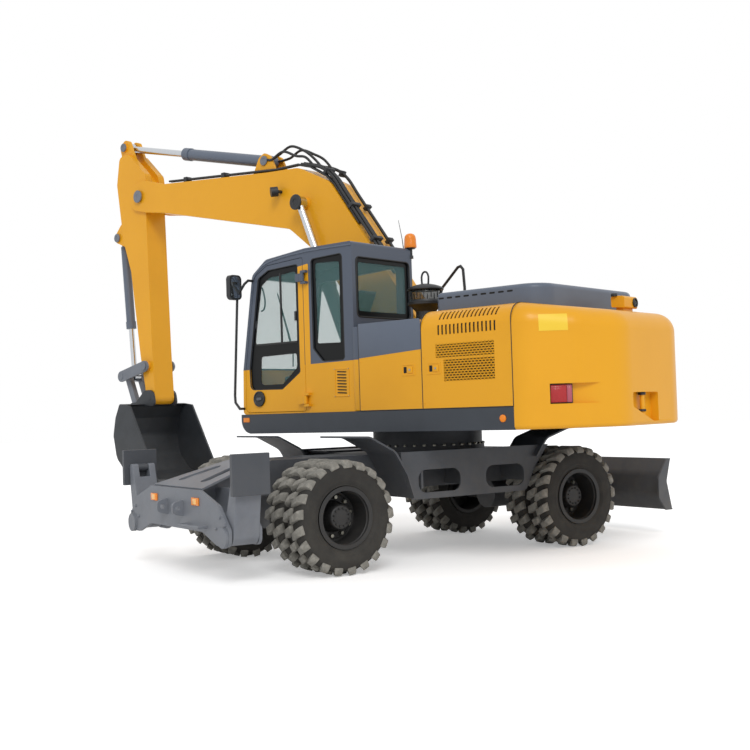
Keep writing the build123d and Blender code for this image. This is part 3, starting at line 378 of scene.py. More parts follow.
@dataclass(frozen=True)
class Glass(Finish):
    """Tinted safety glass: a thin pane that shows what is behind it.

    Attributes:
        clear: The share of light that passes.
    """

    clear: float = 0.55

    def finish_off(self, tree: bpy.types.NodeTree, shader: bpy.types.Node) -> None:
        """Lets part of the light pass straight through the pane."""
        shader.inputs["Alpha"].default_value = 1.0 - self.clear
        shader.inputs["Specular IOR Level"].default_value = 0.35


@dataclass(frozen=True)
class Lens(Finish):
    """A moulded lamp lens with the ribs inside that break up its light.

    Attributes:
        rib_mm: The ribs' spacing.
    """

    rib_mm: float = 14.0

    def finish_off(self, tree: bpy.types.NodeTree, shader: bpy.types.Node) -> None:
        """Presses the ribs into the lens, lets a little light through and adds a faint painted glow."""
        where = tree.nodes["Texture Coordinate"].outputs["Object"]
        ribs = add_node(tree, "ShaderNodeTexVoronoi", {"Scale": 1000 / self.rib_mm, "distance": "CHEBYCHEV",
                                                       "Randomness": 0.0}, {"Vector": where})
        bumped(tree, shader, ribs.outputs["Distance"], 0.7, 0.003)
        shader.inputs["Transmission Weight"].default_value = 0.15
        # painted glow: a faint emission in the lens's own colour brightens it as if light were caught inside it
        shader.inputs["Emission Color"].default_value = linear(self.colour)
        shader.inputs["Emission Strength"].default_value = 0.08


@dataclass(frozen=True)
class Cloth(Finish):
    """Woven seat cloth.

    Attributes:
        thread_mm: The threads' spacing, drawn coarser than the real 0.8 mm so that it shows.
    """

    thread_mm: float = 4.0

    def finish_off(self, tree: bpy.types.NodeTree, shader: bpy.types.Node) -> None:
        """Weaves the two sets of threads into the surface."""
        where = tree.nodes["Texture Coordinate"].outputs["Object"]
        pair = [add_node(tree, "ShaderNodeTexWave", {"Scale": 314 / self.thread_mm, "bands_direction": way,
                                                     "Distortion": 0.4}, {"Vector": where}) for way in "XZ"]
        height = add_node(tree, "ShaderNodeMath", {"operation": "MAXIMUM"},
                          {0: pair[0].outputs["Fac"], 1: pair[1].outputs["Fac"]})
        bumped(tree, shader, height.outputs["Value"], 0.8, 0.001)
        shader.inputs["Sheen Weight"].default_value = 0.3


# enamel: sprayed and stoved, a soft gloss with a faint orange peel; its clear film reflects little
ENAMEL = {"ior": 1.36, "coat": 0.06, "grain_mm": 5}
YELLOW = Finish("sprayed_yellow_enamel", "#E6A41E", "#D69416", 900, 0.35, 0.0, 0.36, **ENAMEL)
CAB_PAINT = TwoTonePaint("sprayed_two_tone_cab_enamel", "#E6A41E", "#D69416", 900, 0.35, 0.0, 0.36, upper="#525A68",
                         **ENAMEL)
SLATE = Finish("sprayed_slate_enamel", "#5F6877", "#525A68", 700, 0.4, 0.0, 0.4, ior=1.38, coat=0.06, grain_mm=5)
# slew deck enamel: dark grey, further darkened as painted shade for its lower skirt, which stands in shadow; its dust
# is real
SKIRT = Finish("sprayed_dark_grey_enamel_with_painted_shade", "#3D4249", "#31353B", 600, 0.5, 0.15, 0.44, ior=1.38, coat=0.05,
               grain_mm=5)
PLATE_PAINT = Finish("printed_plain_plate", "#EFC93A", "#E8C033", 200, 0.3, 0.0, 0.4, ior=1.4, grain_mm=3,
                     relief_mm=0.01)
# chassis enamel: dusty and a little flat where mud has dried on it; its grey is also darkened as painted shade for the
# frame that stands in shade under the machine
CHASSIS = Finish("dusty_chassis_enamel_with_painted_shade", "#41454C", "#33363C", 350, 0.55, 0.35, 0.52, grain_mm=4, relief_mm=0.05)
# outrigger pads: the outriggers' grey enamel darkened as painted shade, with real dust
PAD_PAINT = Finish("grey_enamel_with_painted_shade", "#42464D", "#363B41", 260, 0.5, 0.2, 0.5, grain_mm=4, relief_mm=0.04)
LIGHT_FRAME = Finish("worn_grey_enamel", "#70757E", "#565B65", 260, 0.5, 0.25, 0.5, grain_mm=4, relief_mm=0.04)
# bucket enamel: scuffed, and darkened past its outer grey as painted shade for the inside of the bowl
BUCKET_PAINT = Finish("scuffed_bucket_enamel_with_painted_shade", "#2F3338", "#1F2225", 160, 0.6, 0.2, 0.5, grain_mm=3,
                      relief_mm=0.08)
# tyre rubber: moulded, dull, greyed by dust in its grooves; the lugs are a much paler grey than the carcass
RUBBER = Finish("moulded_tyre_rubber", "#1F1E1D", "#33322F", 120, 0.6, 0.14, 0.82, grain_mm=3, relief_mm=0.3,
                ior=1.52)
LUG_RUBBER = Finish("pale_lug_rubber", "#7B7973", "#A3A098", 45, 0.85, 0.15, 0.85, grain_mm=3, relief_mm=0.4,
                    ior=1.52)
RIM_PAINT = Finish("dusty_rim_enamel", "#1B1C1F", "#26282B", 150, 0.5, 0.12, 0.5, grain_mm=3, relief_mm=0.04)
# hoses and seals: extruded rubber with its fine die lines
HOSE = Finish("extruded_hose_rubber", "#1B1C1E", "#2B2C2E", 40, 0.4, 0.0, 0.55, grain_mm=1.5, relief_mm=0.08)
SEAL = Finish("extruded_rubber_seal", "#141516", "#202123", 60, 0.4, 0.0, 0.5, grain_mm=1.5, relief_mm=0.04)
# ABS mouldings: fine spark-eroded grain, low gloss
PLASTIC = Finish("moulded_black_abs", "#1F2124", "#2A2C30", 80, 0.4, 0.0, 0.48, grain_mm=1.2, relief_mm=0.08)
GREY_PLASTIC = Finish("moulded_grey_abs", "#54585E", "#45494F", 80, 0.4, 0.0, 0.5, grain_mm=1.2, relief_mm=0.08)
# hard chrome is ground and plated, nearly a mirror; zinc is duller and yellower
CHROME = Finish("ground_hard_chrome", "#C9CCD0", "#B4B8BD", 30, 0.3, 0.0, 0.16, metallic=1.0, grain_mm=0.8,
                relief_mm=0.003)
ZINC = Finish("zinc_plated_steel", "#A9A79C", "#8C8A80", 20, 0.5, 0.0, 0.36, metallic=1.0, grain_mm=0.8,
              relief_mm=0.01)
# ductile cast iron keeps the grain of its sand
CAST = Finish("sand_cast_iron", "#3C3D40", "#5A5B5C", 70, 0.6, 0.1, 0.6, metallic=0.6, grain_mm=1.5,
              relief_mm=0.25)
# painted shade: the dark seen through louvres, slots, grilles and vents and in the latch wells, where no light reaches
DARK = Finish("unlit_hollow", "#0B0C0D", "#121314", 60, 0.4, 0.0, 0.85, grain_mm=2)
WINDOW = Glass("tinted_safety_glass", "#6E9A98", "#66908E", 500, 0.2, 0.0, 0.03, ior=1.52, relief_mm=0.0,
               clear=0.80)
SMOKED = Glass("smoked_polycarbonate", "#2E3230", "#262A28", 60, 0.3, 0.0, 0.12, ior=1.58, relief_mm=0.0,
               clear=0.35)
AMBER = Lens("moulded_amber_lens", "#F08A17", "#E07808", 20, 0.3, 0.0, 0.2, ior=1.49)
RED = Lens("moulded_red_lens", "#B3262A", "#9A1B22", 20, 0.3, 0.0, 0.2, ior=1.49)
PALE_RED = Lens("moulded_pale_red_lens", "#B4596A", "#A04A5B", 20, 0.3, 0.0, 0.2, ior=1.49)
CLEAR_AMBER = Lens("moulded_pale_amber_lens", "#F6C67A", "#F0B45E", 20, 0.3, 0.0, 0.15, ior=1.49)
# ceramic print fired on the glass: black, glossy and quite flat
BORDER = Finish("fired_ceramic_border", "#0E1011", "#141617", 300, 0.3, 0.0, 0.3, ior=1.3, grain_mm=4,
                relief_mm=0.002)
MIRROR = Finish("silvered_mirror_glass", "#C4CCD0", "#BCC4C8", 200, 0.2, 0.0, 0.04, metallic=1.0, relief_mm=0.0)
SEAT_CLOTH = Cloth("woven_seat_cloth", "#2A2C31", "#35383E", 60, 0.4, 0.0, 0.85)

# the CAD nodes that stay visible
NODE_FINISHES = {
    "cab_glass": WINDOW, "door_glass": WINDOW, "engine": CAST, "rails_and_mirrors": PLASTIC, "boom_pipes": PLASTIC,
    "knuckle_left": CHASSIS, "knuckle_right": CHASSIS, "blade_cylinder_barrel": LIGHT_FRAME,
    "blade_cylinder_rod": CHROME,
}


def body_of(node: str) -> str:
    """Returns the CAD body that a node rides on."""
    return frame["nodes"][node]["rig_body"]


def linked(name: str, data: bpy.types.ID) -> bpy.types.Object:
    """Makes an object in the scene.

    Args:
        name: Its name.
        data: Its mesh, camera or light.

    Returns:
        The object.
    """
    made = bpy.data.objects.new(name, data)
    bpy.context.scene.collection.objects.link(made)
    return made


def applied(piece: bpy.types.Object) -> bpy.types.Mesh:
    """Ends an object's modifiers.

    Args:
        piece: The object.

    Returns:
        The plain mesh that they made.
    """
    made = bpy.data.meshes.new_from_object(piece.evaluated_get(bpy.context.evaluated_depsgraph_get()))
    piece.modifiers.clear()
    return made


Ring = list[bmesh.types.BMVert]


@dataclass
class Shape:
    """A mesh in the making.

    Attributes:
        level: The frame that its outlines stand in.
        mesh: The mesh itself.
    """

    level: Frame = UPPER
    mesh: bmesh.types.BMesh = field(default_factory=bmesh.new)

    def prism(self, view: View, rows: Rows, low: float, high: float, step_deg: float = ARC_STEP_DEG) -> "Shape":
        """Draws an outline out between two depths.

        Args:
            view: The outline's plane.
            rows: The outline's corners with their radii.
            low: The depth at which it starts.
            high: The depth at which it ends.
            step_deg: How finely its arcs are made.

        Returns:
            This shape.
        """
        points = rounded(rows, step_deg)
        ends = [[self.mesh.verts.new(view.place(self.level, x, y, d)) for x, y in points] for d in (low, high)]
        return self.closed(ends[0], ends[1])

    def band(self, one: Ring, two: Ring) -> None:
        """Joins two rings of corners by faces."""
        for k in range(len(one)):
            n = (k + 1) % len(one)
            self.mesh.faces.new((one[k], one[n], two[n], two[k]))

    def closed(self, one: Ring, two: Ring) -> "Shape":
        """Joins two rings and closes both ends."""
        self.mesh.faces.new(one)
        self.mesh.faces.new(list(reversed(two)))
        for k in range(len(one)):
            n = (k + 1) % len(one)
            self.mesh.faces.new((one[k], two[k], two[n], one[n]))
        return self

    def hoop(self, centre: Vector, side: Vector, other: Vector, radius: float, sides: int) -> Ring:
        """Sets corners evenly round a centre.

        Args:
            centre: The ring's centre.
            side: The way to its first corner.
            other: The way to its quarter.
            radius: Its radius.
            sides: How many corners it has.

        Returns:
            The corners.
        """
        return [self.mesh.verts.new(centre + (side * math.cos(a) + other * math.sin(a)) * radius)
                for a in (2 * math.pi * k / sides for k in range(sides))]

    def box(self, low: Sequence[float], high: Sequence[float]) -> "Shape":
        """Adds a block between two corners of its frame."""
        return self.prism(View.TOP, box_rows(low[0], low[1], high[0], high[1]), low[2], high[2])

    def tube(self, points: Sequence[Sequence[float]], radius: float | Sequence[float], sides: int = 14) -> "Shape":
        """Adds a round tube along a line of the row frame.

        Args:
            points: The line's points.
            radius: One radius, or one for each point.
            sides: How many sides its section has.

        Returns:
            This shape.
        """
        line = [Vector(p) for p in points]
        radii = [radius] * len(line) if isinstance(radius, (int, float)) else list(radius)
        ways = [(line[min(i + 1, len(line) - 1)] - line[max(i - 1, 0)]).normalized() for i in range(len(line))]
        side = ways[0].orthogonal().normalized()
        rings = []
        for here, way, r in zip(line, ways, radii):
            side = (side - way * side.dot(way)).normalized()
            rings.append(self.hoop(here, side, way.cross(side), r, sides))
        for one, two in zip(rings, rings[1:]):
            self.band(one, two)
        self.mesh.faces.new(list(reversed(rings[0])))
        self.mesh.faces.new(rings[-1])
        return self

    def loop(self, points: Sequence[Sequence[float]], radius: float, sides: int = 10) -> "Shape":
        """Adds a round tube along a closed line of the row frame.

        Args:
            points: The line's points; the last is joined to the first.
            radius: The tube's radius.
            sides: How many sides its section has.

        Returns:
            This shape.
        """
        line = [Vector(p) for p in points]
        line = [p for i, p in enumerate(line) if (p - line[i - 1]).length > 1e-5]
        middle = sum(line, Vector()) / len(line)
        across = Vector()
        for i, here in enumerate(line):
            across += (line[i - 1] - middle).cross(here - middle)
        across.normalize()
        rings = []
        for i, here in enumerate(line):
            way = (line[(i + 1) % len(line)] - line[i - 1]).normalized()
            rings.append(self.hoop(here, across, way.cross(across), radius, sides))
        for i, one in enumerate(rings):
            self.band(one, rings[(i + 1) % len(rings)])
        return self

    def turned(self, profile: Sequence[tuple[float, float]], origin: Vector, axis: Vector,
               sides: int = 48) -> "Shape":
        """Turns a profile about an axis.

        Args:
            profile: Points as distance along the axis and radius; a radius of 0 closes an end.
            origin: The axis' start.
            axis: Its direction.
            sides: How many sides the turn has.

        Returns:
            This shape.
        """
        way = axis.normalized()
        side = way.orthogonal().normalized()
        rings = [self.hoop(origin + way * along, side, way.cross(side), radius, sides if radius > 0 else 1)
                 for along, radius in profile]
        for one, two in zip(rings, rings[1:]):
            for k in range(sides):
                n = (k + 1) % sides
                if len(one) == 1 and len(two) > 1:
                    self.mesh.faces.new((one[0], two[k], two[n]))
                elif len(two) == 1 and len(one) > 1:
                    self.mesh.faces.new((one[k], two[0], one[n]))
                elif len(one) > 1:
                    self.mesh.faces.new((one[k], two[k], two[n], one[n]))
        return self

    def sheet(self, outer: Rows, holes: Sequence[Rows], depth: float, thick: float,
              view: View = View.SIDE) -> "Shape":
        """Makes a thin sheet with rounded holes.

        Args:
            outer: The sheet's outline.
            holes: The holes' outlines.
            depth: Where its inner face lies.
            thick: Its thickness, outwards.
            view: The plane that it lies in.

        Returns:
            This shape.
        """
        edges = []
        for rows in (outer, *holes):
            verts = [self.mesh.verts.new(view.place(self.level, x, y, depth)) for x, y in rounded(rows)]
            edges += [self.mesh.edges.new((verts[i], verts[(i + 1) % len(verts)])) for i in range(len(verts))]
        filled = bmesh.ops.triangle_fill(self.mesh, use_beauty=True, edges=edges)["geom"]
        faces = [g for g in filled if isinstance(g, bmesh.types.BMFace)]
        drawn = bmesh.ops.extrude_face_region(self.mesh, geom=faces)["geom"]
        way = view.place(self.level, 0, 0, 1) - view.place(self.level, 0, 0, 0)
        for vert in (g for g in drawn if isinstance(g, bmesh.types.BMVert)):
            vert.co += way * thick
        return self

    def data(self, name: str) -> bpy.types.Mesh:
        """Ends the mesh as plain data, its faces turned outwards."""
        bmesh.ops.recalc_face_normals(self.mesh, faces=self.mesh.faces[:])
        data = bpy.data.meshes.new(name)
        self.mesh.to_mesh(data)
        self.mesh.free()
        return data

    def done(self, name: str, body: str, finish: Finish, bevel: float = 0.0, replaces: Sequence[str] = (),
             smooth_deg: float = SMOOTH_DEG, segments: int = 2) -> bpy.types.Object:
        """Ends the mesh as a piece of the machine.

        Args:
            name: The piece's name.
            body: The CAD body that carries it.
            finish: Its finish.
            bevel: How far its sharp edges are rounded.
            replaces: The CAD nodes that it stands for.
            smooth_deg: The edge angle up to which it is shaded smooth.
            segments: How many faces the rounding has.

        Returns:
            The finished object.
        """
        return dress(self.data(name), name, body, finish, bevel, replaces, smooth_deg, segments)


def dress(data: bpy.types.Mesh, name: str, body: str, finish: Finish, bevel: float = 0.0,
          replaces: Sequence[str] = (), smooth_deg: float = SMOOTH_DEG, segments: int = 2) -> bpy.types.Object:
    """Makes a piece from its mesh.

    Args:
        data: The mesh, in the row frame.
        name: The piece's name.
        body: The CAD body that carries it.
        finish: Its finish.
        bevel: How far its sharp edges are rounded.
        replaces: The CAD nodes that it stands for.
        smooth_deg: The edge angle up to which it is shaded smooth.
        segments: How many faces the rounding has.

    Returns:
        The finished object.
    """
    piece = linked(name, data)
    data.materials.clear()
    data.materials.append(finish.build())
    if bevel > 0:
        rounding = piece.modifiers.new("rounding", "BEVEL")
        rounding.width = bevel
        rounding.segments = segments
        rounding.limit_method = "ANGLE"
        rounding.angle_limit = math.radians(smooth_deg)
        piece.data = applied(piece)
    piece.data.shade_smooth()
    piece.data.set_sharp_from_angle(angle=math.radians(smooth_deg + SHARP_MARGIN_DEG))
    if replaces:
        # flat faces keep their own shading beside rounded edges
        piece.modifiers.new("shading", "WEIGHTED_NORMAL").keep_sharp = True
        piece.data = applied(piece)
    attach(piece, body)
    if replaces:
        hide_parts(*replaces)
    LOG.info("%s: %d faces on %s", name, len(piece.data.polygons), body)
    return piece


WELD = 2e-5  # corners of a CAD mesh that lie nearer than this are one
FLAT_DEG = 1.0  # its faces that turn less than this are one


def softened(node: str, finish: Finish, bevel: float = 0.006, smooth_deg: float = SMOOTH_DEG) -> bpy.types.Object:
    """Copies a CAD node with its edges rounded, as a pressed or welded piece has them.

    Args:
        node: The CAD node, which the copy stands for.
        finish: Its finish.
        bevel: The rounding.
        smooth_deg: The edge angle up to which it is shaded smooth.

    Returns:
        The finished object.
    """
    work = bmesh.new()
    work.from_mesh(frame["nodes"][node].data)
    bmesh.ops.remove_doubles(work, verts=work.verts[:], dist=WELD)
    bmesh.ops.dissolve_limit(work, angle_limit=math.radians(FLAT_DEG), verts=work.verts[:], edges=work.edges[:])
    data = bpy.data.meshes.new(f"{node}_soft")
    work.to_mesh(data)
    work.free()
    return dress(data, f"{node}_soft", body_of(node), finish, bevel, (node,), smooth_deg)


CUSHION_CUTS = 11
CUSHION_EDGE = 0.62  # its edges' thickness as a share of its middle's
CUSHION_PULL = 0.03  # how far its sides pull in, as a share of its size
CHANNEL_AT, CHANNEL_HALF, CHANNEL_DEPTH = 0.45, 0.09, 0.006  # place and half width are shares of the half width


def cushion(name: str, low: Vector, high: Vector, lean: float, swell: float) -> bpy.types.Object:
    """Sews a cushion: a crowned pad whose sides pull in between its corners, with two sewn channels.

    Args:
        name: The cushion's name.
        low: Its lowest corner.
        high: Its highest corner.
        lean: How far its top leans back.
        swell: How far its middle swells out.

    Returns:
        The cushion.
    """
    size, middle = high - low, (high + low) / 2
    thin = min(range(3), key=lambda axis: size[axis])
    shape = Shape()
    bmesh.ops.create_cube(shape.mesh, size=1.0)
    bmesh.ops.subdivide_edges(shape.mesh, edges=shape.mesh.edges[:], cuts=CUSHION_CUTS, use_grid_fill=True)
    for vert in shape.mesh.verts:
        u = [2 * vert.co[axis] for axis in range(3)]
        flat = [u[axis] for axis in range(3) if axis != thin]
        crown = (1 - flat[0] ** 4) * (1 - flat[1] ** 4)
        edge = max(abs(flat[0]), abs(flat[1]))
        for axis in range(3):
            if axis == thin:
                thick = u[axis] * (CUSHION_EDGE + (1 - CUSHION_EDGE) * (1 - edge ** 6))
                vert.co[axis] = thick * size[axis] / 2 + math.copysign(swell * crown * abs(u[axis]), u[axis])
            else:
                other = flat[0] if abs(u[axis] - flat[1]) < 1e-9 and flat[0] != u[axis] else flat[1]
                pull = 1 - CUSHION_PULL + CUSHION_PULL * (abs(other) ** 2 - abs(u[thin]) ** 4)
                vert.co[axis] = u[axis] * pull * size[axis] / 2
        channel = min(abs(flat[0] - CHANNEL_AT), abs(flat[0] + CHANNEL_AT))
        if channel < CHANNEL_HALF:
            depth = CHANNEL_DEPTH * (1 - channel / CHANNEL_HALF)
            vert.co[thin] -= math.copysign(depth, u[thin]) * abs(u[thin])
    for vert in shape.mesh.verts:
        share = (vert.co.z + size.z / 2) / size.z
        vert.co += middle
        vert.co.x += lean * share * (thin == 0)
    smoothing = linked(name, shape.data(name))
    level = smoothing.modifiers.new("smooth", "SUBSURF")
    level.levels = level.render_levels = 1
    made = applied(smoothing)
    bpy.data.objects.remove(smoothing)
    piece = dress(made, name, "upper", SEAT_CLOTH, smooth_deg=60)
    return piece


# ---------------------------------------------------------------- repeats

def nut_mesh(across_flats: float, height: float) -> bpy.types.Mesh:
    """Makes a hexagon nut or bolt head with a turned top.

    Args:
        across_flats: The key's width.
        height: How far it stands up.

    Returns:
        The mesh, standing on the origin.
    """
    corner = across_flats / math.sqrt(3)
    return Shape().turned([(-0.002, 0.0), (-0.002, corner), (height * 0.8, corner), (height, corner * 0.82),
                           (height, 0.0)], Vector(), UP, 6).data("nut")


def slot_mesh(length: float, width: float, height: float) -> bpy.types.Mesh:
    """Makes a short bar with round ends, such as a rib or a louvre's shadow.

    Args:
        length: Its length.
        width: Its width.
        height: How far it stands up.

    Returns:
        The mesh, standing on the origin.
    """
    rows = box_rows(-length / 2, -width / 2, length / 2, width / 2, width * 0.49)
    return Shape().prism(View.TOP, rows, -0.001, height, 30).data("slot")


LUG_OUTLINE = ((-0.006, -0.012), (0.0, 0.024), (0.020, 0.0285), (0.098, 0.027), (0.115, 0.023), (0.126, 0.01),
               (0.1345, -0.016), (0.1365, -0.034), (0.132, -0.046), (0.118, -0.05), (0.09, -0.02))
LUG_HALF, LUG_HEIGHT, LUG_TAPER = 0.044, 0.028, 0.012  # half its length at its foot, and how much each end leans in
LUG_NECK, LUG_NECK_TAPER = 0.02, 0.10  # up to where from the tyre's middle it narrows, and how fast
LUG_SLANT, LUG_STEP, LUG_STEP_AT = 0.34, 0.012, 0.06  # how it runs round the tyre, and the step of its outer block


def lug_mesh() -> bpy.types.Mesh:
    """Makes one chunky tread lug that reaches from the tread's middle over the shoulder.

    Returns:
        The mesh: x runs across the tyre, y round it and z outwards.
    """
    shape = Shape()
    ends = []
    for side in (-1, 1):
        corners = []
        for x, z in LUG_OUTLINE:
            half = LUG_HALF - LUG_TAPER * max(0.0, z) / LUG_HEIGHT - LUG_NECK_TAPER * max(0.0, LUG_NECK - x)
            slant = LUG_SLANT * x + LUG_STEP * (x > LUG_STEP_AT)
            corners.append(shape.mesh.verts.new((x, side * half + slant, z)))
        ends.append(corners)
    return shape.closed(*ends).data("lug")


@dataclass
class Repeat:
    """One small mesh set on many marked points by a node tree.

    Attributes:
        item: The mesh that is repeated.
        scale: How much larger than drawn it is set.
    """

    item: bpy.types.Mesh
    scale: float = 1.0

    def tree(self, finish: Finish) -> bpy.types.NodeTree:
        """Builds the node tree with its named inputs.

        Args:
            finish: The items' finish.

        Returns:
            The tree.
        """
        tree = bpy.data.node_groups.new("repeated_items", "GeometryNodeTree")
        tree.interface.new_socket("Marks", in_out="INPUT", socket_type="NodeSocketGeometry")
        tree.interface.new_socket("Item", in_out="INPUT", socket_type="NodeSocketObject")
        tree.interface.new_socket("Scale", in_out="INPUT", socket_type="NodeSocketFloat")
        tree.interface.new_socket("Items", in_out="OUTPUT", socket_type="NodeSocketGeometry")
        given = add_node(tree, "NodeGroupInput").outputs
        item = add_node(tree, "GeometryNodeObjectInfo", {}, {"Object": given["Item"]})
        spin = add_node(tree, "GeometryNodeInputNamedAttribute", {"data_type": "QUATERNION", "Name": "facing"})
        placed = add_node(tree, "GeometryNodeInstanceOnPoints", {},
                          {"Points": given["Marks"], "Instance": item.outputs["Geometry"],
                           "Rotation": spin.outputs["Attribute"], "Scale": given["Scale"]})
        real = add_node(tree, "GeometryNodeRealizeInstances", {}, {"Geometry": placed.outputs[0]})
        coloured = add_node(tree, "GeometryNodeSetMaterial", {"Material": finish.build()},
                            {"Geometry": real.outputs[0]})
        add_node(tree, "NodeGroupOutput", {}, {0: coloured.outputs[0]})
        return tree

    def on(self, name: str, body: str, finish: Finish, marks: Sequence[Mark],
           bevel: float = 0.0) -> bpy.types.Object:
        """Sets the items and ends them as one piece.

        Args:
            name: The piece's name.
            body: The CAD body that carries it.
            finish: The items' finish.
            marks: Each item's place, its outward direction and the way its length runs.
            bevel: How far the items' edges are rounded.

        Returns:
            The finished object.
        """
        data = bpy.data.meshes.new(f"{name}_marks")
        data.from_pydata([tuple(place) for place, out, run in marks], [], [])
        facing = data.attributes.new("facing", "QUATERNION", "POINT")
        for index, (place, out, run) in enumerate(marks):
            z = out.normalized()
            x = (run - z * run.dot(z)).normalized()
            facing.data[index].value = Matrix((x, z.cross(x), z)).transposed().to_quaternion()
        holder = linked(f"{name}_marks", data)
        sample = linked(f"{name}_item", self.item)
        modifier = holder.modifiers.new("repeat", "NODES")
        modifier.node_group = self.tree(finish)
        values = {"Item": sample, "Scale": self.scale}
        for entry in modifier.node_group.interface.items_tree:
            if entry.name in values:
                modifier[entry.identifier] = values[entry.name]
        made = applied(holder)
        bpy.data.objects.remove(holder)
        bpy.data.objects.remove(sample)
        return dress(made, name, body, finish, bevel)


def ring(centre: Vector, axis: Vector, radius: float, count: int, phase: float = 0.0) -> list[Mark]:
    """Marks evenly spaced places on a circle.

    Args:
        centre: The circle's centre.
        axis: Its outward axis.
        radius: Its radius.
        count: How many places.
        phase: The first place's angle, in degrees.

    Returns:
        The marks.
    """
    way = axis.normalized()
    side = way.orthogonal().normalized()
    other = way.cross(side)
    marks = []
    for k in range(count):
        a = math.radians(phase) + 2 * math.pi * k / count
        spoke = side * math.cos(a) + other * math.sin(a)
        marks.append((centre + spoke * radius, way, spoke))
    return marks


# ---------------------------------------------------------------- the studio

WHITE = (1.0, 1.0, 1.0, 1.0)


@dataclass
class Studio:
    """The camera, the lights, the floor and the pale surroundings.

    Attributes:
        eye: Where the camera stands.
        yaw_deg: The way it looks, from +X towards +Y.
        pitch_deg: How far it looks up.
        roll_deg: How far it leans.
        lens_mm: Its lens.
        sensor_mm: Its sensor's width.
        far: How far it sees.
        sun_way: The way to the sun.
        sun_strength: The sun's strength.
        sun_size_deg: How broad it looks.
        sky_strength: How much light the surroundings give.
        floor_half: Half the floor's side.
        floor_glow: How much brighter the camera sees the floor than the light on it.
    """

    eye: tuple[float, float, float] = (-7.579, 9.553, 1.493)
    yaw_deg: float = -48.991
    pitch_deg: float = 1.780
    roll_deg: float = -1.812
    lens_mm: float = 53.72
    sensor_mm: float = 36.0
    far: float = 300.0
    sun_way: tuple[float, float, float] = (-0.55, 0.55, 0.63)
    sun_strength: float = 1.22
    sun_size_deg: float = 24.0
    sky_strength: float = 0.66
    floor_half: float = 60.0
    floor_glow: float = 0.32

    def camera(self) -> None:
        """Sets the camera where the photograph was taken from."""
        yaw, pitch, roll = (math.radians(a) for a in (self.yaw_deg, self.pitch_deg, self.roll_deg))
        ahead = Vector((math.cos(yaw) * math.cos(pitch), math.sin(yaw) * math.cos(pitch), math.sin(pitch)))
        right = Vector((math.sin(yaw), -math.cos(yaw), 0.0))
        up = right.cross(ahead)
        leaned = right * math.cos(roll) + up * math.sin(roll)
        upright = up * math.cos(roll) - right * math.sin(roll)
        data = bpy.data.cameras.new("camera")
        data.lens = self.lens_mm
        data.sensor_width = self.sensor_mm
        data.clip_end = self.far
        camera = linked("camera", data)
        turn = Matrix((leaned, upright, -ahead)).transposed().to_4x4()
        camera.matrix_world = Matrix.Translation(Vector(self.eye)) @ turn
        bpy.context.scene.camera = camera

    def world(self) -> None:
        """Makes an even pale sky that the camera and the reflections see as white."""
        world = bpy.data.worlds.new("pale_surroundings")
        bpy.context.scene.world = world
        world.use_nodes = True
        tree = world.node_tree
        tree.nodes.clear()
        path = add_node(tree, "ShaderNodeLightPath")
        seen = add_node(tree, "ShaderNodeMath", {"operation": "MAXIMUM"},
                        {0: path.outputs["Is Camera Ray"], 1: path.outputs["Is Glossy Ray"]})
        shown = add_node(tree, "ShaderNodeMath", {"operation": "MAXIMUM"},
                         {0: seen.outputs[0], 1: path.outputs["Is Transmission Ray"]})
        lamp = add_node(tree, "ShaderNodeBackground", {"Color": WHITE, "Strength": self.sky_strength})
        white = add_node(tree, "ShaderNodeBackground", {"Color": WHITE, "Strength": 1.0})
        both = add_node(tree, "ShaderNodeMixShader", {}, {0: shown.outputs[0], 1: lamp.outputs[0],
                                                          2: white.outputs[0]})
        add_node(tree, "ShaderNodeOutputWorld", {}, {"Surface": both.outputs[0]})

    def lights(self) -> None:
        """Adds a broad soft sun from behind the camera's left shoulder."""
        data = bpy.data.lights.new("soft_sun", "SUN")
        data.energy = self.sun_strength
        data.angle = math.radians(self.sun_size_deg)
        sun = linked("soft_sun", data)
        sun.matrix_world = Vector(self.sun_way).to_track_quat("Z", "Y").to_matrix().to_4x4()

    def floor(self) -> None:
        """Lays a pale floor that keeps the machine's shadow."""
        half = self.floor_half
        data = bpy.data.meshes.new("floor")
        data.from_pydata([(-half, -half, 0), (half, -half, 0), (half, half, 0), (-half, half, 0)], [], [(0, 1, 2, 3)])
        floor = linked("floor", data)
        material = bpy.data.materials.new("pale_studio_floor")
        material.use_nodes = True
        tree = material.node_tree
        shader = tree.nodes["Principled BSDF"]
        shader.inputs["Base Color"].default_value = WHITE
        shader.inputs["Roughness"].default_value = 0.9
        shader.inputs["Specular IOR Level"].default_value = 0.0
        path = add_node(tree, "ShaderNodeLightPath")
        seen = add_node(tree, "ShaderNodeMath", {"operation": "MULTIPLY", 1: self.floor_glow},
                        {0: path.outputs["Is Camera Ray"]})
        shader.inputs["Emission Color"].default_value = WHITE
        tree.links.new(seen.outputs[0], shader.inputs["Emission Strength"])
        data.materials.append(material)

    def build(self) -> None:
        """Sets up the whole studio."""
        bpy.context.scene.view_settings.view_transform = "Standard"
        self.camera()
        self.world()
        self.lights()
        self.floor()


PLATE_COLUMNS, PLATE_LEVELS = 12, 6  # how often a laid plate is divided along and up
PLATE_SUNK = 0.002  # how deep its back lies in the wall


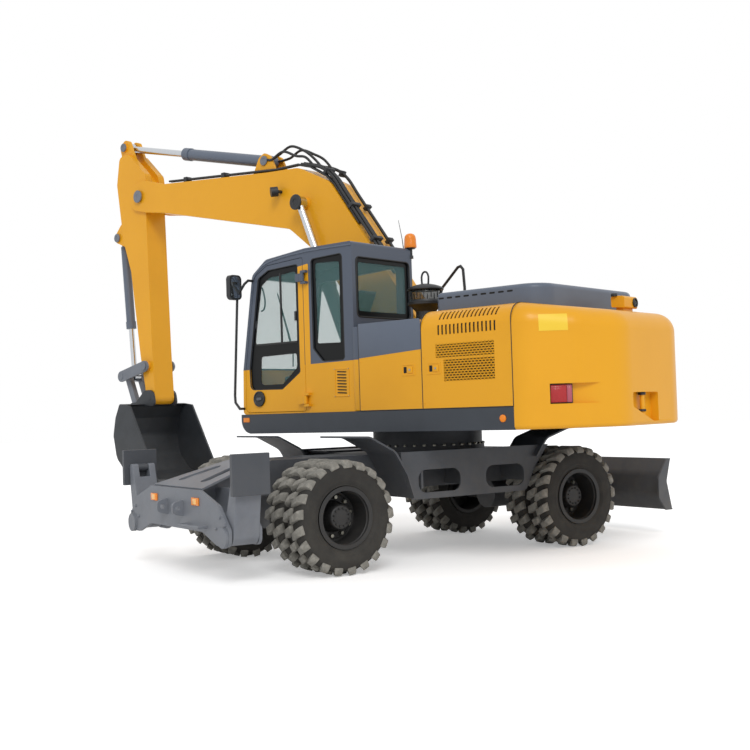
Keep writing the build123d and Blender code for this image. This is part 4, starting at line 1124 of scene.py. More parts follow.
def laid_on(node: str, name: str, finish: Finish, ends: tuple[Vector, Vector], heights: tuple[float, float],
            stand: float = 0.003) -> bpy.types.Object:
    """Lays a thin plate on a curved wall, square to the line between its ends.

    Args:
        node: The CAD node that has the wall.
        name: The plate's name.
        finish: Its finish.
        ends: Where its two ends stand, seen from above.
        heights: Its lower and its upper edge.
        stand: How far it stands off the wall.

    Returns:
        The plate.
    """
    work = bmesh.new()
    work.from_mesh(frame["nodes"][node].data)
    wall = BVHTree.FromBMesh(work)
    work.free()
    run = ends[1] - ends[0]
    out = Vector((run.y, -run.x, 0)).normalized()
    shape = Shape()
    verts = []
    for i in range(PLATE_COLUMNS + 1):
        here = ends[0] + run * i / PLATE_COLUMNS
        column = []
        for j in range(PLATE_LEVELS + 1):
            height = heights[0] + (heights[1] - heights[0]) * j / PLATE_LEVELS
            hit = wall.ray_cast(Vector((here.x, here.y, height)) + out * 0.5, -out)[0]
            column.append([shape.mesh.verts.new(hit + out * way) for way in (-PLATE_SUNK, stand)])
        verts.append(column)
    for i in range(PLATE_COLUMNS):
        for j in range(PLATE_LEVELS):
            for k in (0, 1):
                shape.mesh.faces.new((verts[i][j][k], verts[i + 1][j][k], verts[i + 1][j + 1][k],
                                      verts[i][j + 1][k]))
    rim = ([(i, 0) for i in range(PLATE_COLUMNS)] + [(PLATE_COLUMNS, j) for j in range(PLATE_LEVELS)]
           + [(i, PLATE_LEVELS) for i in range(PLATE_COLUMNS, 0, -1)] + [(0, j) for j in range(PLATE_LEVELS, 0, -1)])
    for (i, j), (m, n) in zip(rim, rim[1:] + rim[:1]):
        shape.mesh.faces.new((verts[i][j][0], verts[m][n][0], verts[m][n][1], verts[i][j][1]))
    return shape.done(name, body_of(node), finish)


# ---------------------------------------------------------------- sub-assemblies

@dataclass
class TwinWheel:
    """Two tyres on one rim, with its nuts and hub.

    Attributes:
        place: Its name by its place.
        side: 1 on the left and -1 on the right.
        along: The axle's place.
        tyre_radius: The radius over the lugs.
        lug_radius: The radius on which the lugs are set.
        middles: The two tyres' middles, from the machine's middle.
        lug_count: Lugs round one shoulder.
    """

    place: str
    side: int
    along: float
    tyre_radius: float = 0.525
    lug_radius: float = 0.4945
    middles: tuple[float, float] = (0.76, 1.11)
    lug_count: int = 21

    @property
    def body(self) -> str:
        """Returns the CAD body that carries the wheel."""
        return f"wheel_{self.place}"

    @property
    def axis(self) -> Vector:
        """Returns the direction of the axle, outwards."""
        return UNDER.at(0, self.side, 0)

    def centre(self, across: float) -> Vector:
        """Returns a point on the axle."""
        return UNDER.at(self.along, self.side * across, self.tyre_radius)

    def carcasses(self) -> None:
        """Builds the two tyres without their lugs."""
        half = [(0.0, 0.489), (0.055, 0.488), (0.092, 0.483), (0.112, 0.473), (0.1225, 0.459), (0.1275, 0.448),
                (0.1255, 0.446), (0.1305, 0.425), (0.1325, 0.40), (0.1315, 0.375), (0.1275, 0.347), (0.1295, 0.343),
                (0.1285, 0.336), (0.1215, 0.318), (0.1135, 0.303), (0.1155, 0.299), (0.1135, 0.291), (0.106, 0.286)]
        profile = [(-x, r) for x, r in reversed(half[1:])] + half
        shape = Shape()
        for middle in self.middles:
            shape.turned(profile + [profile[0]], self.centre(middle), self.axis, 120)
        shape.done(f"tyre_carcasses_{self.place}", self.body, RUBBER,
                   replaces=(f"tyres_{self.place}",), smooth_deg=40)

    def lugs(self) -> None:
        """Sets the chunky lugs round both shoulders of each tyre, those of one side between the other's."""
        marks = []
        for middle in self.middles:
            for half, phase in ((1, 0.0), (-1, 180 / self.lug_count)):
                for place, _, spoke in ring(self.centre(middle), self.axis, self.lug_radius, self.lug_count, phase):
                    marks.append((place, spoke, self.axis * half))
        Repeat(lug_mesh()).on(f"tyre_lugs_{self.place}", self.body, LUG_RUBBER, marks, bevel=0.005)

    def rim(self) -> None:
        """Builds the dished rims, the hub, the nuts and bolts and the valve."""
        profile = [(1.02, 0.0), (1.152, 0.0), (1.153, 0.03), (1.150, 0.098), (1.144, 0.108), (1.128, 0.117),
                   (1.06, 0.121), (1.05, 0.128), (1.022, 0.131), (1.008, 0.142), (0.986, 0.15), (0.984, 0.205),
                   (0.992, 0.214), (0.992, 0.229), (1.02, 0.236), (1.196, 0.240), (1.203, 0.246), (1.206, 0.262),
                   (1.214, 0.268), (1.222, 0.270), (1.226, 0.284), (1.232, 0.286), (1.2345, 0.279), (1.2335, 0.246),
                   (1.228, 0.244), (1.222, 0.262), (1.216, 0.254), (1.206, 0.252), (0.98, 0.253), (0.66, 0.253),
                   (0.652, 0.262), (0.645, 0.284), (0.640, 0.284), (0.640, 0.247), (0.66, 0.243), (0.90, 0.243),
                   (0.925, 0.235), (0.925, 0.13), (0.85, 0.12), (0.85, 0.062)]
        Shape().turned(profile, self.centre(0.0), self.axis, 96).done(
            f"rim_{self.place}", self.body, RIM_PAINT, replaces=(f"rims_{self.place}",), smooth_deg=30)
        Repeat(nut_mesh(0.036, 0.03)).on(f"wheel_nuts_{self.place}", self.body, ZINC,
                                         ring(self.centre(0.992), self.axis, 0.178, 10, 18))
        Repeat(nut_mesh(0.017, 0.009)).on(f"hub_bolts_{self.place}", self.body, RIM_PAINT,
                                          ring(self.centre(1.156), self.axis, 0.083, 12))
        valve = self.centre(0.99) + UNDER.at(0.21, 0, 0.06)
        Shape().tube([valve, valve + self.axis * 0.05, valve + self.axis * 0.1 + UNDER.at(0.01, 0, 0.01)],
                     0.006, 10).done(f"valve_{self.place}", self.body, ZINC)

    def build(self) -> None:
        """Builds the whole wheel."""
        self.carcasses()
        self.lugs()
        self.rim()


@dataclass
class Cab:
    """The cab's paint, glass borders, seals, door furniture, vent, mirror and seat.

    Attributes:
        left_y: The outer face of its left wall.
        rear_x: The outer face of its rear wall.
        print_depth: How deep the printed borders' inner faces lie in the walls.
        door_glass: The door's glass.
        upper_pane: Its clear upper part.
        lower_pane: Its clear lower part.
        side_glass: The rear side window.
        side_pane: Its clear part.
        rear_glass: The rear window.
        rear_pane: Its clear part.
    """

    left_y: float = 1.21
    rear_x: float = -0.06
    print_depth: float = 0.0205
    door_glass: Rows = ((0.715, 1.915, 0.03), (0.985, 1.745, 0.03), (1.48, 1.752, 0.06), (1.488, 1.985, 0.0),
                        (1.318, 2.955, 0.06), (1.16, 3.03, 0.06), (0.712, 3.05, 0.03))
    upper_pane: Rows = ((0.762, 2.225, 0.025), (1.402, 2.245, 0.03), (1.372, 2.44, 0.0), (1.282, 2.875, 0.05),
                        (1.165, 2.95, 0.05), (0.76, 2.985, 0.03))
    lower_pane: Rows = ((0.772, 1.965, 0.03), (0.995, 1.798, 0.03), (1.335, 1.798, 0.06), (1.312, 2.105, 0.03),
                        (0.775, 2.115, 0.03))
    side_glass: Rows = ((0.075, 2.01, 0.04), (0.38, 2.01, 0.06), (0.515, 2.15, 0.04), (0.515, 3.08, 0.04),
                        (0.075, 3.095, 0.04))
    side_pane: Rows = ((0.135, 2.19, 0.02), (0.462, 2.2, 0.02), (0.47, 3.035, 0.03), (0.13, 3.02, 0.03))
    rear_glass: Rows = tuple(box_rows(0.3, 2.44, 1.15, 3.05, 0.05))
    rear_pane: Rows = tuple(box_rows(0.352, 2.5, 1.1, 3.0, 0.03))

    def shell(self) -> None:
        """Rounds the shell's and the door's edges and paints the strips on the post and on the door's stile."""
        softened("cab_shell", CAB_PAINT, 0.014)
        softened("cab_door", CAB_PAINT, 0.004)
        wall = self.left_y
        Shape().box((-0.146, wall - 0.12, 1.487), (-0.0635, wall + 0.028, 2.33)).done(
            "cab_rear_flank", "upper", CAB_PAINT, 0.012)
        strip = [(0.556, 1.96, 0.0), (0.634, 1.96, 0.0), (0.634, 3.03, 0.01), (0.556, 3.04, 0.01)]
        Shape().prism(View.SIDE, strip, wall - 0.004, wall + 0.0012).done("door_post_strip", "upper", YELLOW)
        stile = [(0.6415, 1.95, 0.0), (0.711, 1.95, 0.0), (0.711, 3.022, 0.0), (0.6415, 3.03, 0.0)]
        Shape().prism(View.SIDE, stile, wall - 0.004, wall + 0.0012).done("door_stile_strip", "cab_door", YELLOW)

    def borders(self) -> None:
        """Prints the wide black borders round the panes and adds the door's sliding frame."""
        depth = self.left_y - self.print_depth
        Shape().sheet(self.door_glass, (self.upper_pane, self.lower_pane), depth, 0.003).done(
            "door_glass_border", "cab_door", BORDER)
        Shape().sheet(self.side_glass, (self.side_pane,), depth, 0.003).done("side_glass_border", "upper", BORDER)
        Shape().sheet(self.rear_glass, (self.rear_pane,), self.rear_x + self.print_depth, -0.003, View.FRONT).done(
            "rear_glass_border", "upper", BORDER)
        bar = Shape().box((0.992 - 0.012, depth - 0.004, 2.235), (0.992 + 0.012, depth + 0.008, 2.985))
        bar.box((0.76, depth - 0.004, 2.225), (1.4, depth + 0.007, 2.247))
        bar.done("sliding_window_frame", "cab_door", SEAL, 0.002)

    def seals(self) -> None:
        """Lays a rubber seal round each window opening."""
        for name, rows, body in (("door_glass_seal", self.door_glass, "cab_door"),
                                 ("side_glass_seal", self.side_glass, "upper")):
            points = [Vector((x, self.left_y - 0.004, z)) for x, z in rounded(rows)]
            Shape().loop(points, 0.0065, 8).done(name, body, SEAL)
        points = [Vector((self.rear_x + 0.002, y, z)) for y, z in rounded(self.rear_glass)]
        Shape().loop(points, 0.009, 8).done("rear_glass_seal", "upper", SEAL)

    def furniture(self) -> None:
        """Adds the door's lock, its inner handle and catches, and the vent in the rear side panel."""
        wall = self.left_y
        Shape().turned([(-0.02, 0.0835), (0.006, 0.0835), (0.009, 0.08), (0.009, 0.07), (0.002, 0.064),
                        (0.001, 0.03), (0.007, 0.024), (0.008, 0.0)], Vector((1.34, wall + 0.012, 1.65)), OUT).done(
            "door_lock", "cab_door", PLASTIC, smooth_deg=STEPPED_DEG)
        Shape().prism(View.SIDE, box_rows(1.296, 1.634, 1.372, 1.664, 0.012), wall + 0.013, wall + 0.024).done(
            "door_lock_paddle", "cab_door", GREY_PLASTIC, 0.004)
        handle = [(1.30, 1.182, 2.86), (1.30, 1.16, 2.84), (1.27, 1.16, 2.72), (1.285, 1.16, 2.63), (1.31, 1.182, 2.6)]
        Shape().tube(eased(handle), 0.009, 10).done("door_inner_handle", "cab_door", PLASTIC)
        Shape().box((0.762, 1.186, 2.46), (0.79, 1.2, 2.56)).box((1.372, 1.186, 2.42), (1.398, 1.2, 2.5)).done(
            "window_catches", "cab_door", PLASTIC, 0.004)
        rim, hole = box_rows(0.02, 1.637, 0.222, 1.925, 0.02), box_rows(0.032, 1.649, 0.21, 1.913, 0.014)
        Shape().sheet(rim, (hole,), wall - 0.001, 0.006).done("vent_rim", "upper", YELLOW, 0.0015)
        # the vent's slits are dark strips of painted shade
        marks = [(Vector((0.121, wall + 0.001, 1.676 + 0.0305 * k)), OUT, Vector((1, 0, 0.06))) for k in range(8)]
        Repeat(slot_mesh(0.125, 0.0115, 0.003)).on("vent_slits", "upper", DARK, marks)
        marks = [(Vector((x, wall + 0.0065, z)), OUT, UP) for x in (0.026, 0.216) for z in (1.643, 1.919)]
        Repeat(nut_mesh(0.009, 0.003)).on("vent_screws", "upper", ZINC, marks)

    def roof(self) -> None:
        """Adds the roof's rain gutter, the beacon's foot and lens, the antenna and the wiper."""
        gutter = [(x, self.left_y + 0.002, z) for x, z in ((-0.055, 3.168), (0.6, 3.168), (1.12, 3.123),
                                                           (1.33, 3.028), (1.412, 2.93))]
        Shape().tube(eased(gutter), 0.009, 8).done("roof_gutter", "upper", SLATE)
        foot = Vector((-0.05, 0.25, 3.10))
        Shape().turned([(0.0, 0.0), (0.0, 0.03), (0.03, 0.028), (0.034, 0.02), (0.10, 0.02), (0.105, 0.052),
                        (0.118, 0.056), (0.122, 0.0)], foot, UP, 32).done(
            "beacon_foot", "upper", PLASTIC, smooth_deg=STEPPED_DEG)
        Shape().turned([(0.0, 0.0), (0.0, 0.064), (0.012, 0.068), (0.03, 0.066), (0.10, 0.062), (0.128, 0.056),
                        (0.146, 0.042), (0.155, 0.02), (0.157, 0.0)], foot + UP * 0.115, UP).done(
            "beacon_lens", "upper", AMBER, replaces=("beacon",))
        for name, line, radius, sides, finish in (
                ("antenna", [(0.04, 0.25, 3.17), (0.06, 0.25, 3.32), (0.105, 0.25, 3.535)], [0.006, 0.004, 0.0025], 8,
                 PLASTIC),
                ("antenna_foot", [(0.04, 0.25, 3.15), (0.045, 0.25, 3.2)], 0.016, 12, PLASTIC),
                ("wiper_arm", [(1.572, 0.46, 2.02), (1.556, 0.47, 2.16), (1.50, 0.62, 2.46), (1.476, 0.70, 2.62)],
                 0.008, 8, PLASTIC),
                ("wiper_blade", [(1.533, 0.52, 2.30), (1.444, 0.80, 2.83)], 0.007, 8, SEAL)):
            Shape().tube(line, radius, sides).done(name, "upper", finish)

    def mirror(self) -> None:
        """Builds the mirror's ribbed housing on its tube."""
        rows = box_rows(1.268, 2.745, 1.422, 3.005, 0.05)
        Shape().prism(View.FRONT, rows, 1.532, 1.585, 9).done("mirror_housing", "upper", PLASTIC, 0.014, segments=3)
        glass = box_rows(1.281, 2.758, 1.409, 2.992, 0.042)
        Shape().prism(View.FRONT, glass, 1.5295, 1.534).done("mirror_glass", "upper", MIRROR)
        marks = [(Vector((1.586, 1.345, 2.79 + 0.034 * k)), AHEAD, OUT) for k in range(6)]
        Repeat(slot_mesh(0.11, 0.008, 0.006)).on("mirror_ribs", "upper", PLASTIC, marks)
        Shape().tube([(1.545, 1.30, 2.80), (1.56, 1.33, 2.83)], 0.02, 12).done("mirror_clamp", "upper", PLASTIC, 0.003)

    def seat(self) -> None:
        """Sews the seat's three cushions and adds its base, posts and back shell."""
        for name, low, high, lean, swell in (("seat_cushion", (0.32, 0.50, 1.805), (0.84, 0.96, 1.925), 0.0, 0.02),
                                             ("seat_back", (0.235, 0.51, 1.93), (0.335, 0.95, 2.50), -0.085, 0.022),
                                             ("head_rest", (0.215, 0.61, 2.53), (0.305, 0.85, 2.745), -0.10, 0.018)):
            cushion(name, Vector(low), Vector(high), lean, swell)
        Shape().box((0.33, 0.53, 1.545), (0.78, 0.93, 1.80)).done("seat_base", "upper", PLASTIC, 0.02,
                                                                  replaces=("seat",), segments=3)
        posts = Shape()
        for y in (0.68, 0.78):
            posts.tube([(0.27, y, 2.49), (0.262, y, 2.56)], 0.008, 10)
        posts.done("head_rest_posts", "upper", CHROME)
        Shape().prism(View.SIDE, [(0.235, 1.90, 0.0), (0.27, 1.90, 0.0), (0.215, 2.5, 0.02), (0.19, 2.5, 0.02)],
                      0.53, 0.93).done("seat_back_shell", "upper", PLASTIC, 0.01)

    def controls(self) -> None:
        """Replaces the plain consoles with moulded ones and adds the levers and a round steering wheel."""
        shape, levers = Shape(), Shape()
        for middle in (0.40, 1.06):
            shape.prism(View.SIDE, [(0.33, 1.545, 0.02), (0.78, 1.545, 0.02), (0.80, 2.0, 0.05), (0.36, 2.01, 0.05)],
                        middle - 0.06, middle + 0.06)
            levers.tube([(0.74, middle, 1.99), (0.752, middle, 2.06), (0.758, middle, 2.08), (0.765, middle, 2.12),
                         (0.768, middle, 2.155)], [0.014, 0.012, 0.018, 0.021, 0.014], 14)
        shape.prism(View.SIDE, [(1.19, 1.545, 0.02), (1.33, 1.545, 0.02), (1.32, 1.89, 0.03), (1.20, 1.9, 0.03)],
                    0.61, 0.85)
        shape.done("console_mouldings", "upper", PLASTIC, 0.012, replaces=("cab_consoles",), segments=3)
        levers.done("control_levers", "upper", PLASTIC)
        hub, way = Vector((1.13, 0.73, 2.18)), Vector((-0.37, 0, 0.93)).normalized()
        rise = way.cross(OUT)
        rim = [hub + (OUT * math.cos(a) + rise * math.sin(a)) * 0.165 for a in (k * math.pi / 24 for k in range(48))]
        wheel = Shape().loop(rim, 0.014, 10)
        for a in (90, 210, 330):
            spoke = OUT * math.cos(math.radians(a)) + rise * math.sin(math.radians(a))
            wheel.tube([hub, hub + spoke * 0.16], 0.011, 8)
        wheel.tube([(1.25, 0.73, 1.88), (1.13, 0.73, 2.17)], 0.028, 16)
        wheel.tube([hub - way * 0.02, hub + way * 0.02], 0.04, 20)
        wheel.done("steering_wheel", "upper", PLASTIC)

    def build(self) -> None:
        """Builds the cab's looks."""
        self.shell()
        self.borders()
        self.seals()
        self.furniture()
        self.roof()
        self.mirror()
        self.seat()
        self.controls()


@dataclass
class RearBody:
    """The compartment behind the cab, the engine doors, the hood, the tail and the skirt.

    Attributes:
        wall_y: The doors' outer face.
        low_z: The doors' lower edge.
        top_z: The doors' top.
        inner_y: How far in the doors' top reaches.
        gaps: The places of the gaps between the panels.
        gap_radius: The radius of the seals in them.
        shoulder: The rounding along the top.
        louvres: The first and the last louvre's place.
        louvre_count: How many louvres lie in one row.
        fields: The grille's fields: their two ends, lower and upper edge, and how many rows of slots they have.
        slot_pitch: The distance from one slot to the next.
        slot_web: Half the metal left between two slots.
        row_web: Half the metal left between two rows.
        edge_web: Half the metal along a field's edge.
    """

    wall_y: float = 1.25
    low_z: float = 1.486
    top_z: float = 2.42
    inner_y: float = 0.93
    gaps: tuple[float, float] = (-0.95, -1.978)
    gap_radius: float = 0.0045
    shoulder: float = 0.19
    louvres: tuple[float, float] = (-1.80, -1.16)
    louvre_count: int = 15
    fields: tuple[tuple[float, float, float, float, int], ...] = ((-1.79, -1.12, 1.955, 2.09, 6),
                                                                  (-1.79, -1.21, 1.735, 1.945, 9))
    slot_pitch: float = 0.04
    slot_web: float = 0.005
    row_web: float = 0.0055
    edge_web: float = 0.008

    def panels(self) -> None:
        """Smooths the pressed panels and lays the seals into the gaps between them."""
        softened("side_housings", YELLOW, 0.004)
        softened("counterweight", YELLOW, 0.0, 8.0)
        softened("hood", SLATE, 0.0, 8.0)
        softened("slew_deck", SKIRT, 0.006)
        rows = [(self.wall_y, self.low_z, 0.0), (self.wall_y, self.top_z, self.shoulder),
                (self.inner_y, self.top_z, 0.0), (self.inner_y, self.low_z, 0.0)]
        for side, name in SIDES:
            for index, x in enumerate(self.gaps):
                line = [(x, side * y, z) for y, z in rounded(rows)[:-1]]
                Shape().tube(line, self.gap_radius, 6).done(f"panel_gap_{index}_{name}", "upper", SEAL)
        gap = Shape().tube([(-0.152, 1.248, 1.49), (-0.152, 1.248, 2.345)], self.gap_radius, 6)
        gap.tube([(-0.152, 1.251, 1.486), (-1.98, 1.251, 1.486)], self.gap_radius, 6)
        gap.done("panel_gap_front", "upper", SEAL)
        band = [(-0.155, 2.008, 0.0), (-0.155, 2.352, 0.0), (-0.945, 2.352, 0.03), (-0.945, 2.055, 0.0)]
        Shape().prism(View.SIDE, band, self.wall_y - 0.004, self.wall_y + 0.0015).done(
            "compartment_slate_band", "upper", SLATE, 0.001)

    def openings(self) -> None:
        """Lines the doors' louvres and the hood's slots with dark strips of painted shade and punches the grilles."""
        for side, name in SIDES:
            self.slots(side, name)
            self.grille(side, name)
        # the hood's slots are dark strips of painted shade
        marks = [(Vector((-1.365 + 0.1 * k, 0.9285, 2.553)), OUT, AHEAD) for k in range(-4, 5)]
        Repeat(slot_mesh(0.064, 0.017, 0.0025)).on("hood_slots", "upper", DARK, marks)

    def slots(self, side: int, name: str) -> None:
        """Lines each slot of the engine door with a dark strip of painted shade for the opening.

        Args:
            side: 1 on the left and -1 on the right.
            name: That side's name.
        """
        first, last = self.louvres
        places = [first + (last - first) * k / (self.louvre_count - 1) for k in range(self.louvre_count)]
        out = OUT * side
        low = [(Vector((x, side * (self.wall_y - 0.008), 2.2215)), out, UP) for x in places]
        Repeat(slot_mesh(0.09, 0.019, 0.002)).on(f"door_louvres_{name}", "upper", DARK, low)
        arc = [(math.radians(a), self.shoulder - d) for d, angles in ((0.008, range(27, 61, 4)),
                                                                      (0.02, range(59, 26, -4))) for a in angles]
        strip = [(r * math.cos(a), r * math.sin(a), 0.0) for a, r in arc]
        item = Shape().prism(View.SIDE, strip, -0.0095, 0.0095).data("shoulder_slot")
        high = [(Vector((x, side * (self.wall_y - self.shoulder), self.top_z - self.shoulder)), UP, out)
                for x in places]
        Repeat(item).on(f"shoulder_louvres_{name}", "upper", DARK, high)

    def grille(self, side: int, name: str) -> None:
        """Punches the two fields of short slots, those of one row between the next row's.

        Args:
            side: 1 on the left and -1 on the right.
            name: That side's name.
        """
        shape = Shape()
        y = sorted((side * (self.wall_y - 0.006), side * (self.wall_y - 0.001)))
        back = sorted((side * (self.wall_y - 0.03), side * (self.wall_y - 0.026)))
        for low_x, high_x, low_z, high_z, rows in self.fields:
            row_high = (high_z - low_z) / rows
            for row in range(rows + 1):
                z = low_z + row * row_high
                half = self.row_web if 0 < row < rows else self.edge_web
                shape.box((low_x, y[0], z - half), (high_x, y[1], z + half))
            for row in range(rows):
                z = low_z + row * row_high
                x = low_x + (self.slot_pitch / 2 if row % 2 else 0.0)
                while x < high_x:
                    shape.box((max(low_x, x - self.slot_web), y[0], z),
                              (min(high_x, x + self.slot_web), y[1], z + row_high))
                    x += self.slot_pitch
            # a dark sheet of painted shade behind the slots
            Shape().box((low_x, back[0], low_z), (high_x, back[1], high_z)).done(
                f"grille_back_{rows}_{name}", "upper", DARK)
        shape.done(f"grille_plate_{name}", "upper", YELLOW, replaces=("engine_grilles",) if side > 0 else ())

    def latches(self) -> None:
        """Sets the flush latches into the doors, each in a raised rim, and the panels' screws."""
        wall = self.wall_y
        for name, middle_x in (("compartment", -0.783), ("engine_door", -1.096)):
            rim = box_rows(middle_x - 0.084, 1.808, middle_x + 0.084, 1.922, 0.014)
            hole = box_rows(middle_x - 0.066, 1.822, middle_x + 0.066, 1.908, 0.01)
            Shape().sheet(rim, (hole,), wall - 0.001, 0.005).done(f"{name}_latch_rim", "upper", YELLOW, 0.0015)
            paddle = box_rows(middle_x - 0.055, 1.832, middle_x + 0.012, 1.898, 0.008)
            Shape().prism(View.SIDE, paddle, wall - 0.002, wall + 0.007).done(
                f"{name}_latch_paddle", "upper", YELLOW, 0.003)
            # the latch's well is a flat dark plate of painted shade
            well = box_rows(middle_x + 0.02, 1.835, middle_x + 0.056, 1.895, 0.008)
            Shape().prism(View.SIDE, well, wall - 0.002, wall + 0.001).done(f"{name}_latch_well", "upper", DARK)
            Shape().turned([(0.0, 0.0), (0.006, 0.0), (0.006, 0.0105), (0.0, 0.012)],
                           Vector((middle_x - 0.022, wall + 0.005, 1.865)), OUT, 20).done(
                f"{name}_latch_barrel", "upper", ZINC)
        marks = [(Vector((x, wall, z)), OUT, UP) for x in (-0.175, -0.93, -0.975, -1.955) for z in (1.54, 1.97)]
        Repeat(nut_mesh(0.014, 0.004)).on("panel_screws", "upper", YELLOW, marks)

    def tail_light(self, side: int, name: str) -> None:
        """Sets a tail light's housing and its two lenses on the floor of its pocket.

        Args:
            side: 1 on the left and -1 on the right.
            name: That side's name.
        """
        start, stop = Vector((-2.262, side * 1.095, 0)), Vector((-2.565, side * 0.735, 0))
        run = (stop - start).normalized()
        deep = start - Vector((run.y, -run.x, 0)) * side * 0.07
        floor_run = (stop - deep).normalized()
        floor_out = Vector((floor_run.y, -floor_run.x, 0)) * side
        base = deep + floor_run * 0.014 + floor_out * 0.012
        for part, low, high, thick, z0, z1, finish in (("housing", 0.0, 0.205, 0.016, 1.499, 1.671, PLASTIC),
                                                       ("red_lens", 0.008, 0.150, 0.026, 1.507, 1.663, RED),
                                                       ("side_lens", 0.153, 0.197, 0.026, 1.507, 1.663, PALE_RED)):
            corners = [base + floor_run * along + floor_out * out
                       for along, out in ((low, 0.0), (high, 0.0), (high, thick), (low, thick))]
            Shape().prism(View.TOP, [(c.x, c.y, 0.0) for c in corners], z0, z1).done(
                f"tail_{part}_{name}", "upper", finish, 0.003,
                replaces=("tail_lights",) if part == "housing" and side > 0 else ())

    def tail(self) -> None:
        """Adds the tail's lights, the lamp box, the blank plate and the hitch pin's collars."""
        for side, name in SIDES:
            self.tail_light(side, name)
        rows = [(-2.43, 2.385, 0.015), (-2.29, 2.40, 0.015), (-2.285, 2.515, 0.03), (-2.435, 2.50, 0.03)]
        Shape().prism(View.SIDE, rows, -0.26, 0.0).done("work_light_box", "upper", YELLOW, 0.006,
                                                        replaces=("work_light",))
        Shape().box((-2.40, -0.22, 2.345), (-2.32, -0.04, 2.395)).done("work_light_foot", "upper", YELLOW, 0.004)
        face, back = Vector((-2.4315, -0.205, 2.443)), Vector((-1, 0, 0.04))
        Shape().turned([(0.0, 0.0), (0.0, 0.046), (0.012, 0.046), (0.014, 0.042), (0.014, 0.036), (0.004, 0.032),
                        (0.004, 0.0)], face, back, 32).done("work_light_ring", "upper", PLASTIC, smooth_deg=STEPPED_DEG)
        Shape().turned([(0.0045, 0.0), (0.0045, 0.031), (0.009, 0.02), (0.0105, 0.0)], face, back, 32).done(
            "work_light_lens", "upper", SMOKED)
        Shape().tube([(-2.33, 0.005, 2.50), (-2.33, 0.005, 2.53)], 0.03, 24).done("work_light_cap", "upper", PLASTIC,
                                                                                  0.004)
        laid_on("counterweight", "blank_plate", PLATE_PAINT,
                (Vector((-2.202, 1.149, 0)), Vector((-2.396, 0.976, 0))), (2.143, 2.293))
        collars = Shape()
        for low, high in ((1.553, 1.582), (1.40, 1.422)):
            collars.tube([(-2.65, 0.14, low), (-2.65, 0.14, high)], 0.034, 24)
        collars.done("hitch_pin_collars", "upper", CAST, 0.003)

    def intake(self) -> None:
        """Builds the air pre-cleaner: a smoked bowl between a black base and a cap, with its ribs and handle."""
        middle = Vector((-0.48, 0.56, 0))
        for part, finish, replaced, profile in (
                ("base", PLASTIC, ("pre_cleaner",),
                 [(2.35, 0.0), (2.35, 0.105), (2.48, 0.105), (2.50, 0.12), (2.53, 0.15), (2.55, 0.185),
                  (2.575, 0.188), (2.58, 0.17), (2.6, 0.165), (2.60, 0.0)]),
                ("bowl", SMOKED, (),
                 [(2.6, 0.0), (2.6, 0.158), (2.62, 0.166), (2.68, 0.166), (2.70, 0.158), (2.70, 0.0)]),
                ("cap", PLASTIC, (),
                 [(2.70, 0.0), (2.70, 0.186), (2.708, 0.19), (2.716, 0.186), (2.735, 0.16), (2.752, 0.11),
                  (2.765, 0.05), (2.77, 0.0)])):
            Shape().turned(profile, middle, UP, 56).done(f"intake_{part}", "upper", finish, replaces=replaced,
                                                         smooth_deg=STEPPED_DEG)
        handle = [(-0.52, 0.56, 2.755), (-0.524, 0.56, 2.84), (-0.50, 0.56, 2.885), (-0.46, 0.56, 2.885),
                  (-0.436, 0.56, 2.84), (-0.44, 0.56, 2.755)]
        Shape().tube(eased(handle), 0.01, 12).done("intake_handle", "upper", PLASTIC)
        marks = [(p + UP * 2.65, (p - middle).normalized(), UP) for p, *_ in ring(middle, UP, 0.166, 14)]
        Repeat(slot_mesh(0.075, 0.008, 0.008)).on("intake_ribs", "upper", PLASTIC, marks)

    def build(self) -> None:
        """Builds the rear body's looks."""
        self.panels()
        self.openings()
        self.latches()
        self.tail()
        self.intake()


